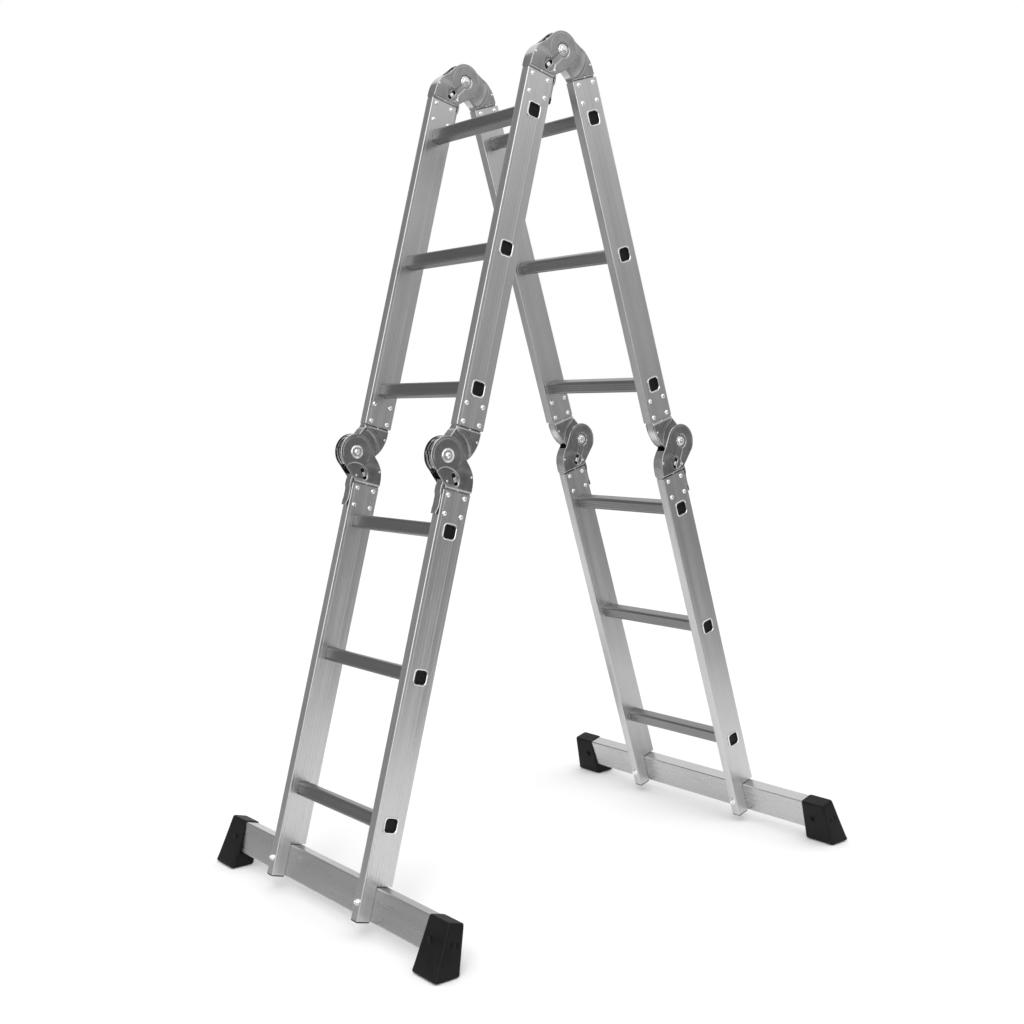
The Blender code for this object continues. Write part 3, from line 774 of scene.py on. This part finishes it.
def plate_outline(shoulder, sign, radius, start):
    """The round barrel plate, its tangent down to the shoulder, and the tongue inside the rail."""
    outline = curve_through(shoulder, 5)
    edge = outline[-1][0]
    high = min(edge, TONGUE_HIGH)
    outline += [
        (edge - 0.0003, sign * 0.0600), (high, sign * TONGUE_START), (high, sign * TONGUE_END),
        (TONGUE_LOW, sign * TONGUE_END), (TONGUE_LOW, sign * TONGUE_START),
        (NEAR_X + 0.0003, sign * 0.0600), (NEAR_X, sign * SHOULDER_END),
    ]
    outline += [(x, sign * z) for x, z in arc(0, 0, radius, start, 2 * pi - TANGENT, 84)]
    return outline


def stadium(radius_mid, half_length, half_width):
    """The outline of a slot that points away from the pivot at the lock angle."""
    ux, uz = sin(LOCK_ANGLE), -cos(LOCK_ANGLE)
    heading = -pi / 2 + LOCK_ANGLE
    far = radius_mid + half_length - half_width
    near = radius_mid - half_length + half_width
    found = arc(ux * far, uz * far, half_width, heading - pi / 2, heading + pi / 2, 8)
    return found + arc(ux * near, uz * near, half_width, heading + pi / 2, heading + 3 * pi / 2, 8)


def resample(loop, step):
    """Points along a closed loop no further apart than step."""
    found = []
    for (x0, z0), (x1, z1) in zip(loop, loop[1:] + loop[:1]):
        count = max(1, int(np.ceil(hypot(x1 - x0, z1 - z0) / step)))
        for i in range(count):
            found.append((x0 + (x1 - x0) * i / count, z0 + (z1 - z0) * i / count))
    return found


def inside(points, loop):
    """Which points a closed loop goes round."""
    loop = np.array(loop)
    nxt = np.roll(loop, -1, axis=0)
    x, z = points[:, 0][:, None], points[:, 1][:, None]
    cross = (loop[:, 1] > z) != (nxt[:, 1] > z)
    rise = np.where(nxt[:, 1] == loop[:, 1], 1e-12, nxt[:, 1] - loop[:, 1])
    at = loop[:, 0] + (z - loop[:, 1]) * (nxt[:, 0] - loop[:, 0]) / rise
    return (cross & (x < at)).sum(axis=1) % 2 == 1


def distance(points, loops):
    """Each point's distance to the nearest edge of the loops."""
    best = np.full(len(points), 1e9)
    for loop in loops:
        a = np.array(loop)
        b = np.roll(a, -1, axis=0)
        ab = b - a
        length = (ab ** 2).sum(axis=1) + 1e-18
        ap = points[:, None, :] - a[None]
        t = np.clip((ap * ab).sum(axis=2) / length, 0, 1)
        away = np.sqrt(((ap - t[:, :, None] * ab) ** 2).sum(axis=2))
        best = np.minimum(best, away.min(axis=1))
    return best


def within(points, loops):
    """Which points are inside the first loop and outside the holes."""
    keep = inside(points, loops[0])
    for hole in loops[1:]:
        keep &= ~inside(points, hole)
    return keep


def edge_rows(loops):
    """Rows of points along both sides of every loop, for the rounded edges."""
    rows = []
    for loop in loops:
        points = np.array(loop)
        along = np.roll(points, -1, axis=0) - np.roll(points, 1, axis=0)
        normal = np.stack([-along[:, 1], along[:, 0]], axis=1)
        normal /= np.linalg.norm(normal, axis=1)[:, None] + 1e-12
        for way in (-1, 1):
            rows += [points + way * normal * step * MM for step in (0.3, 0.8, 1.5)]
    return np.vstack(rows)


def lattice(low, high):
    """Points in a triangular pattern from corner to corner."""
    xs = np.arange(low[0], high[0], PLATE_GRID)
    zs = np.arange(low[1], high[1], PLATE_GRID * 0.866)
    return np.array([(x + (k % 2) * PLATE_GRID / 2, z) for k, z in enumerate(zs) for x in xs])


def plate_triangles(loops):
    """The flat points and the triangles that fill the first loop round the holes."""
    rim = np.array([p for loop in loops for p in loop])
    parts = [rim]
    for points, gap in (
        (edge_rows(loops), 0.25 * MM), (lattice(rim.min(axis=0), rim.max(axis=0)), PLATE_GRID),
    ):
        parts.append(points[within(points, loops) & (distance(points, loops) > gap)])
    edges, start = [], 0
    for loop in loops:
        edges += [(start + i, start + (i + 1) % len(loop)) for i in range(len(loop))]
        start += len(loop)
    points = [Vector(p) for p in np.vstack(parts)]
    verts, _, faces, *_ = delaunay_2d_cdt(points, edges, [], 0, 1e-7)
    flat = np.array([tuple(v) for v in verts])
    centres = np.array([flat[list(f)].mean(axis=0) for f in faces])
    return flat, [face for face, good in zip(faces, within(centres, loops)) if good]


def pressed_plate(name, outline, holes, height, back, side):
    """A pressing whose outer face follows height(x, z), with rounded edges and a flat back."""
    loops = [resample(outline, 1.6 * MM)] + [resample(hole, 1.2 * MM) for hole in holes]
    flat, faces = plate_triangles(loops)
    near_edge = np.maximum(EDGE_SOFT - distance(flat, loops), 0)
    drop = EDGE_SOFT - np.sqrt(np.maximum(EDGE_SOFT ** 2 - near_edge ** 2, 0))
    top = height(flat[:, 0], flat[:, 1]) - drop
    under = np.minimum(back(flat[:, 0], flat[:, 1]), top - 0.4 * MM)
    bm = bmesh.new()
    front = [bm.verts.new((x, side * y, z)) for (x, z), y in zip(flat, top)]
    rear = [bm.verts.new((x, side * y, z)) for (x, z), y in zip(flat, under)]
    edges = [edge for face in faces for edge in zip(face, [*face[1:], face[0]])]
    for face in faces:
        bm.faces.new([front[i] for i in face])
        bm.faces.new([rear[i] for i in reversed(face)])
    shared = set(edges)
    for i, j in edges:
        if (j, i) not in shared:
            bm.faces.new((front[j], front[i], rear[i], rear[j]))
    loose = [v for v in bm.verts if not v.link_faces]
    bmesh.ops.delete(bm, geom=loose, context="VERTS")
    return finish_mesh(bm, name, 40)


def to_tongue(z, face):
    """The plate steps in from its own level to go inside the rail."""
    return TONGUE_FACE + (face - TONGUE_FACE) * (1 - smooth(np.abs(z), 0.0565, 0.0625))


def ring_step(x, z, radius, width):
    return smooth(np.hypot(x, z), radius - width / 2, radius + width / 2)


def leaf(x, z):
    """The hollow under the barrel on the bolt head side, 1 inside it."""
    tilt = radians(-14)
    dx, dz = x - 0.0110, z + 0.0415
    a = (dx * cos(tilt) + dz * sin(tilt)) / 0.0275
    b = (-dx * sin(tilt) + dz * cos(tilt)) / 0.0195
    return 1 - smooth(np.sqrt(a * a + b * b), 0.90, 1.04)


def round_barrel(z):
    """1 round the barrel's free side, 0 from where the cheek runs down to the rail."""
    return 1 - smooth(-z, 0.012, 0.026)


def above_rail(z):
    """1 on the cheek's broad part, 0 at the rail's mouth."""
    return 1 - smooth(np.abs(z), 0.050, 0.058)


def cheek_bolt_side(x, z):
    """A low rim round the barrel and the leaf shaped hollow under it."""
    rim = 0.9 * MM * ring_step(x, z, 0.0325, 0.0024) * round_barrel(z)
    return to_tongue(z, CHEEK_FACE) - rim - 1.7 * MM * leaf(x, z) * above_rail(z)


def cheek_nut_side(x, z):
    """Two round hollows, at the nut and at the lock slot, that run into each other."""
    at_nut = 1 - ring_step(x, z, 0.0150, 0.0022)
    sx, sz = SLOT_MID * sin(LOCK_ANGLE), -SLOT_MID * cos(LOCK_ANGLE)
    at_slot = 1 - ring_step(x - sx + 0.0015, z - sz - 0.0010, 0.0135, 0.0022)
    t = np.clip((x * sx + z * sz) / (sx * sx + sz * sz), 0, 1)
    lane = np.hypot(x - t * sx + 0.004 * np.sin(t * pi), z - t * sz)
    between = 1 - smooth(lane, 0.0055, 0.0085)
    hollow = np.maximum(np.maximum(at_nut, at_slot), 0.75 * between)
    rim = 0.8 * MM * ring_step(x, z, 0.0335, 0.0024) * round_barrel(z)
    return to_tongue(z, CHEEK_FACE) - 2.0 * MM * hollow * above_rail(z) - rim


def inner_plate(x, z):
    """Flat under the cheek, with a bead round the barrel where it steps out to the cheek's level."""
    reach = smooth(x, 0.006, 0.016)
    out = 2.3 * MM * ring_step(x, z, 0.0520, 0.0110) * reach
    groove = np.exp(-((np.hypot(x, z) - 0.0600) / 0.0016) ** 2) * reach
    return to_tongue(z, INNER_FACE + out - 0.5 * MM * groove)


def inner_flat(x, z):
    """The level of the wall at the rail's mouth, which passes under the slot when the hinge closes."""
    return to_tongue(z, INNER_FACE) - 0.8 * MM


def flat_back(level, thick):
    """The plate's inner face, which keeps its thickness where the outer face steps in."""
    low = TONGUE_FACE - thick

    def back(x, z):
        return np.minimum(level, low + (level - low) * (1 - smooth(np.abs(z), 0.0545, 0.0610)))

    return back


def ribbon_mesh(name, path, face, sign):
    """The wall that joins an arm's two plates, following the plates' edge."""
    points = [Vector(p) for p in path]
    rings = []
    for i, p in enumerate(points):
        a = points[max(i - 1, 0)]
        b = points[min(i + 1, len(points) - 1)]
        along = (b - a).normalized()
        inner = p + Vector((along.y, -along.x)) * sign * WALL_THICK
        half = float(face(np.array([p.x]), np.array([p.y]))[0]) - 1.1 * MM
        rings.append([
            (p.x, -half, p.y), (p.x, half, p.y), (inner.x, half, inner.y), (inner.x, -half, inner.y),
        ])
    bm = bmesh.new()
    add_loft(bm, rings)
    return finish_mesh(bm, name, 50)


def dome(bm, x, y, z, radius, height, side, count=22):
    """A rivet head standing on a face whose outward direction along y is side."""
    steps = [(0, -0.6 * MM), (radius, -0.6 * MM)]
    for k in range(6):
        a = k / 5 * pi / 2
        steps.append((radius * cos(a) if k < 5 else 0, height * sin(a)))
    at = Matrix.Translation((x, y, z)) @ Matrix.Diagonal((1, side, 1, 1))
    add_lathe(bm, steps, count, at)


def rail_rivets_mesh(sign):
    """Four rivets through rail and tongue, with a head on each web."""
    bm = bmesh.new()
    for row in RIVET_ROWS:
        for column in (-RIVET_COLUMN, RIVET_COLUMN):
            for side in (-1, 1):
                z = sign * (MOUTH + row)
                dome(bm, PIVOT_OFFSET + column, side * RAIL_THICK / 2, z, RIVET_R, 2.8 * MM, side)
    return finish_mesh(bm, "rail_rivets", 45)


def plate_rivets_mesh(spots, faces):
    bm = bmesh.new()
    for x, z, radius in spots:
        for side, face in faces:
            level = float(face(np.array([x]), np.array([z]))[0])
            dome(bm, x, side * level, z, radius, 0.42 * radius, side, 16)
    return finish_mesh(bm, "plate_rivets", 45)


def pivot_hole():
    return arc(0, 0, 0.0062, 0, 2 * pi * 27 / 28, 27)


def pivot_bolt_mesh():
    """A dished washer with a riveted head on the -y face, a domed nut on the +y face."""
    bm = bmesh.new()
    y = CHEEK_FACE
    head = (
        (0, 4.9), (2.2, 4.8), (4.2, 4.2), (5.6, 3.2), (6.1, 2.2), (6.6, 1.1), (8.4, 0.9), (10.6, 1.5),
        (12.2, 2.3), (13.2, 2.4), (13.9, 1.8), (14.2, 0.8), (14.2, -0.4), (0, -0.4),
    )
    add_lathe(bm, [(r * MM, -y - h * MM) for r, h in head], 44)
    nut_base = -1.5
    nut = (
        (0, 5.2), (2.0, 5.1), (3.4, 4.6), (3.8, 4.0), (5.0, 3.9), (7.0, 3.3), (8.2, 2.2), (8.8, 0.8),
        (10.6, 0.5), (11.2, 0.0), (11.2, -0.8), (0, -0.8),
    )
    add_lathe(bm, [(r * MM, y + (h + nut_base) * MM) for r, h in nut], 44)
    add_lathe(bm, [(0.0058, -y), (0.0058, y)], 24)
    return finish_mesh(bm, "pivot_bolt", 30)


def on_slot_line(further):
    """Moves a piece from the pivot to the slot's line, this much beyond the slot's middle."""
    turn = Matrix.Rotation(-LOCK_ANGLE, 4, "Y")
    return turn @ Matrix.Translation((0, 0, -SLOT_MID - further))


def lock_pin_mesh():
    """The pin across the slot: a round bar with flats, its ends just under the cheeks' faces."""
    half = CHEEK_FACE - 0.9 * MM
    section = rounded_rect(3.4 * MM, 4.4 * MM, 1.4 * MM, 4)
    rings = []
    for scale, y in ((0.85, -half), (1, -half + 0.5 * MM), (1, half - 0.5 * MM), (0.85, half)):
        rings.append([(x * scale, y, z * scale) for x, z in section])
    bm = bmesh.new()
    add_loft(bm, rings)
    bm.transform(on_slot_line(1.0 * MM))
    return finish_mesh(bm, "lock_pin", 40)


def slot_shade_block_mesh():
    """A near-black block behind the slot: painted shade for the dark inside of the barrel."""
    section = rounded_rect(7.5 * MM, 12.5 * MM, 2.0 * MM, 3)
    bm = bmesh.new()
    add_loft(bm, [[(x, y, z) for x, z in section] for y in (-8.6 * MM, 8.6 * MM)])
    bm.transform(on_slot_line(1.5 * MM))
    return finish_mesh(bm, "slot_shade_block", 40)


def lock_disc_mesh():
    """The notched disc on the inner arm that the lock pin drops into."""
    notch = radians(7)
    outline = []
    for k in range(6):
        centre = LOCK_ANGLE - pi / 2 + k * pi / 3
        outline += arc(0, 0, 0.0358, centre + notch - pi / 3, centre - notch, 8)
        outline += [(0.0315 * cos(centre + d), 0.0315 * sin(centre + d)) for d in (-notch, notch)]
    bm = bmesh.new()
    for y0, y1 in ((-7.2, -2.2), (2.2, 7.2)):
        add_loft(bm, [[(x, y * MM, z) for x, z in outline] for y in (y0, y1)])
    add_lathe(bm, [(0.0065, -0.0090), (0.0220, -0.0090), (0.0220, 0.0090), (0.0065, 0.0090)], 40)
    return finish_mesh(bm, "lock_disc", 30)


def lever_mesh():
    """A pressed channel that stands off the rail, its lips turned in and its end a finger tab."""
    line = (
        (0.0020, -0.0465), (0.0026, -0.0505), (0.0022, -0.0550), (0.0012, -0.0590), (0.0012, -0.0690),
        (0.0020, -0.0725), (0.0034, -0.0755), (0.0038, -0.0800), (0.0038, -0.0950), (0.0034, -0.0990),
        (0.0026, -0.1030), (0.0018, -0.1080), (0.0014, -0.1120),
    )
    thick = 1.3 * MM
    points = [Vector(p) for p in line]
    rings = []
    for i, p in enumerate(points):
        a, b = points[max(i - 1, 0)], points[min(i + 1, len(points) - 1)]
        along = (b - a).normalized()
        into = Vector((-along.y, along.x))
        if into.x < 0:
            into = -into
        lip = (3.4 * MM if 2 <= i <= 9 else 0) + thick * 1.001
        wide = 10.2 * MM - (1.6 * MM if i >= 11 else 0)
        half = [
            (wide - 0.8 * MM, 0), (wide, 0.8 * MM), (wide, lip), (wide - thick, lip),
            (wide - thick, thick),
        ]
        section = half + [(-y, d) for y, d in reversed(half)]
        rings.append([(p.x + into.x * d, y, p.y + into.y * d) for y, d in section])
    bm = bmesh.new()
    add_loft(bm, rings)
    return finish_mesh(bm, "lever", 35)


def outer_parts():
    """The pieces of the outer arm: (name, look, mesh)."""
    line = plate_outline(OUTER_SHOULDER, -1, BARREL_R, radians(124))
    holes = [pivot_hole(), stadium(SLOT_MID, SLOT_HALF_LENGTH, SLOT_HALF_WIDTH)]
    back = flat_back(CHEEK_BACK, 2.0 * MM)
    wall = curve_through(OUTER_SHOULDER, 5)[3:] + [(FAR_X, -0.0600), (FAR_X, -WALL_END)]
    marks = ((0.0640, -0.0290, 0.0024), (0.0110, -0.0475, 0.0024), (PIVOT_OFFSET, -0.0595, 0.0020))
    faces = ((-1, cheek_bolt_side), (1, cheek_nut_side))
    return [
        ("cheek_head", "hinge", pressed_plate("cheek_head", line, holes, cheek_bolt_side, back, -1)),
        ("cheek_nut", "hinge", pressed_plate("cheek_nut", line, holes, cheek_nut_side, back, 1)),
        ("outer_wall", "hinge", ribbon_mesh("outer_wall", wall, cheek_bolt_side, 1)),
        ("outer_mouth", "hinge", ribbon_mesh("outer_mouth", MOUTH_WALL, cheek_bolt_side, 1)),
        ("outer_rivets", "bolt", plate_rivets_mesh(marks, faces)),
        ("outer_rail_rivets", "rivet", rail_rivets_mesh(-1)),
    ]


def inner_parts():
    """The pieces of the inner arm: (name, look, mesh)."""
    line = plate_outline(INNER_SHOULDER, 1, PLATE_R, radians(93))
    holes = [pivot_hole()]
    back = flat_back(INNER_BACK, 2.0 * MM)
    wall = curve_through(INNER_SHOULDER, 5)[2:] + [(INNER_SHOULDER[-1][0], WALL_END)]
    mouth = [(x, -z) for x, z in MOUTH_WALL]
    mouth += arc(0, 0, PLATE_R - 0.3 * MM, radians(96), radians(128), 12)
    marks = ((0.0606, 0.0390, 0.0024), (PIVOT_OFFSET, 0.0595, 0.0020))
    faces = ((-1, inner_plate), (1, inner_plate))
    return [
        ("plate_head", "hinge", pressed_plate("plate_head", line, holes, inner_plate, back, -1)),
        ("plate_nut", "hinge", pressed_plate("plate_nut", line, holes, inner_plate, back, 1)),
        ("inner_wall", "hinge", ribbon_mesh("inner_wall", wall, inner_plate, -1)),
        ("inner_mouth", "hinge", ribbon_mesh("inner_mouth", mouth, inner_flat, -1)),
        ("inner_rivets", "bolt", plate_rivets_mesh(marks, faces)),
        ("inner_rail_rivets", "rivet", rail_rivets_mesh(1)),
        ("lock_disc", "hinge", lock_disc_mesh()),
    ]


def middle_parts():
    """The pieces in the barrel that ride with the outer arm, the painted shade block behind the slot
    among them: (name, look, mesh).
    """
    return [("slot_shade", "shade_black", slot_shade_block_mesh()), ("pivot", "bolt", pivot_bolt_mesh())]


def lock_parts():
    """The pieces that turn together when the lever is pulled: (name, look, mesh)."""
    return [("pin", "bolt", lock_pin_mesh()), ("lever", "lever", lever_mesh())]


STANDS_FOR = {
    "cheek_head": "outer_arm", "plate_head": "inner_arm", "pivot": "pivot_bolt", "pin": "lock_pin",
    "lever": "release_lever",
}


def build_hinges():
    outer, inner, middle, lock = outer_parts(), inner_parts(), middle_parts(), lock_parts()
    for place, stem, outer_body, inner_body in (
        ("top", "top", "front_upper", "rear_upper"),
        ("front", "front_mid", "front_lower", "front_upper"),
        ("rear", "rear_mid", "rear_lower", "rear_upper"),
    ):
        for where, y in (("near", -RAIL_Y), ("far", RAIL_Y)):
            out_at, in_at = hinge_matrix(place, y), inner_matrix(place, y)
            for parts, body, matrix in (
                (outer, outer_body, out_at), (inner, inner_body, in_at),
                (middle, outer_body, out_at), (lock, f"{stem}_lock_{where}", out_at),
            ):
                for name, look, mesh in parts:
                    nodes = [f"{stem}_{STANDS_FOR[name]}_{where}"] if name in STANDS_FOR else ()
                    put(f"hinge_{stem}_{name}_{where}", mesh.copy(), look, matrix, body, nodes)


# ---- Studio ----

CARD_HIGH = 5.0
FLOOR_CARD_Z = 0.003
CARDS = (
    ("card_right", -142, 3.4, 5.0, (
        (0.0, 0.26), (0.5, 0.28), (1.2, 0.50), (1.8, 0.46), (2.2, 0.60), (2.6, 1.0),
    )),
    ("card_left", 36, 3.6, 5.0, ((0.0, 0.34), (1.2, 0.40), (1.8, 0.36), (2.6, 0.30))),
    ("card_front", 128, 3.6, 1.8, ((0.0, 0.6), (0.35, 0.8), (0.7, 2.4), (2.6, 2.6))),
    ("card_back", -52, 3.8, 3.0, ((0.0, 0.62), (1.6, 0.80), (2.6, 1.1))),
)
FLOOR_CARDS = (
    ("floor_left", (-4.0, -4.0), (-0.62, 3.2), 0.52),
    ("floor_front", (-0.62, -4.0), (-0.42, -0.48), 0.60),
    ("floor_ahead", (0.10, -4.0), (4.0, -1.25), 0.42),
    ("floor_back", (0.05, 0.48), (4.0, 4.0), 0.50),
    ("floor_right", (0.62, -0.3), (4.0, 0.48), 0.50),
)


def build_floor():
    bm = bmesh.new()
    bmesh.ops.create_circle(bm, cap_ends=True, radius=14, segments=96)
    mesh = bpy.data.meshes.new("floor")
    bm.to_mesh(mesh)
    bm.free()
    sh = Shader("studio_floor", 0.9, 0.0)
    sh.main.inputs["Base Color"].default_value = (*grey(0.93), 1)
    mesh.materials.append(sh.mat)
    add_object("floor", mesh)


def build_world():
    world = bpy.data.worlds.new("studio")
    bpy.context.scene.world = world
    world.use_nodes = True
    background = world.node_tree.nodes["Background"]
    background.inputs["Color"].default_value = (1, 1, 1, 1)
    background.inputs["Strength"].default_value = 1.0


def glow_material(name):
    """A material that only gives off light, and its emission shader."""
    mat = bpy.data.materials.new(name)
    mat.use_nodes = True
    tree = mat.node_tree
    tree.nodes.clear()
    glow = tree.nodes.new("ShaderNodeEmission")
    out = tree.nodes.new("ShaderNodeOutputMaterial")
    tree.links.new(glow.outputs["Emission"], out.inputs["Surface"])
    return mat, glow


def rising_glow(name, levels, high):
    """Light given off in grey, its (height, level) steps running up the piece."""
    mat, glow = glow_material(name)
    tree = mat.node_tree
    coords = tree.nodes.new("ShaderNodeTexCoord")
    split = tree.nodes.new("ShaderNodeSeparateXYZ")
    ramp = tree.nodes.new("ShaderNodeValToRGB")
    tree.links.new(coords.outputs["Object"], split.inputs["Vector"])
    tree.links.new(split.outputs["Z"], ramp.inputs["Fac"])
    tree.links.new(ramp.outputs["Color"], glow.inputs["Color"])
    set_stops(ramp.color_ramp, [(at / high, grey(level)) for at, level in levels])
    return mat


def add_card(name, corners, mat, matrix):
    """A sheet that only the metal's reflections see."""
    mesh = bpy.data.meshes.new(name)
    mesh.from_pydata(corners, [], [range(4)])
    mesh.materials.append(mat)
    card = add_object(name, mesh)
    card.matrix_world = matrix
    card.visible_camera = False
    card.visible_diffuse = False
    card.visible_shadow = False


def reflector(name, heading, away, wide, levels):
    """A grey card standing round the ladder, its tone running up from the floor."""
    half = wide / 2
    corners = [(x, 0, z) for x, z in ((-half, 0.001), (half, 0.001), (half, 1), (-half, 1))]
    turn = Matrix.Rotation(radians(heading), 4, "Z")
    stretch = Matrix.Diagonal((1, 1, CARD_HIGH, 1))
    at = turn @ Matrix.Translation((0, away, 0)) @ stretch
    add_card(name, corners, rising_glow(name, levels, CARD_HIGH), at)


def floor_card(name, low, high, level):
    """A grey sheet on the floor from corner low to corner high, as if the floor ran darker there."""
    corners = [(x, y, 0) for x, y in ((low[0], low[1]), (high[0], low[1]), high, (low[0], high[1]))]
    mat, glow = glow_material(name)
    glow.inputs["Color"].default_value = (*grey(level), 1)
    add_card(name, corners, mat, Matrix.Translation((0, 0, FLOOR_CARD_Z)))


def build_lights():
    """A broad weak sun and a square light at the upper left, behind the camera."""
    sun = add_object("soft_sun", bpy.data.lights.new("soft_sun", "SUN"))
    sun.data.energy = 0.45
    sun.data.angle = radians(40)
    sun.rotation_euler = (radians(28), radians(-14), 0)
    key = add_object("key", bpy.data.lights.new("key", "AREA"))
    key.data.energy = 60
    key.data.size = 1.6
    key.location = (-3.2, -3.0, 3.6)
    aim = Vector((0, 0, 0.8)) - key.location
    key.rotation_euler = aim.to_track_quat("-Z", "Y").to_euler()


def build_camera():
    data = bpy.data.cameras.new("camera")
    data.lens = CAMERA_LENS
    data.sensor_width = 36
    data.clip_end = 100
    camera = add_object("camera", data)
    look = Euler((pi / 2 + CAMERA_PITCH, 0, -CAMERA_YAW), "XYZ").to_matrix().to_4x4()
    roll = Matrix.Rotation(CAMERA_ROLL, 4, "Z")
    camera.matrix_world = Matrix.Translation(CAMERA_AT) @ look @ roll
    bpy.context.scene.camera = camera


def build_studio():
    build_floor()
    build_world()
    build_lights()
    for card in CARDS:
        reflector(*card)
    for card in FLOOR_CARDS:
        floor_card(*card)
    build_camera()
    bpy.context.scene.view_settings.view_transform = "Standard"


build_rails()
build_rungs()
build_feet()
build_hinges()
build_studio()
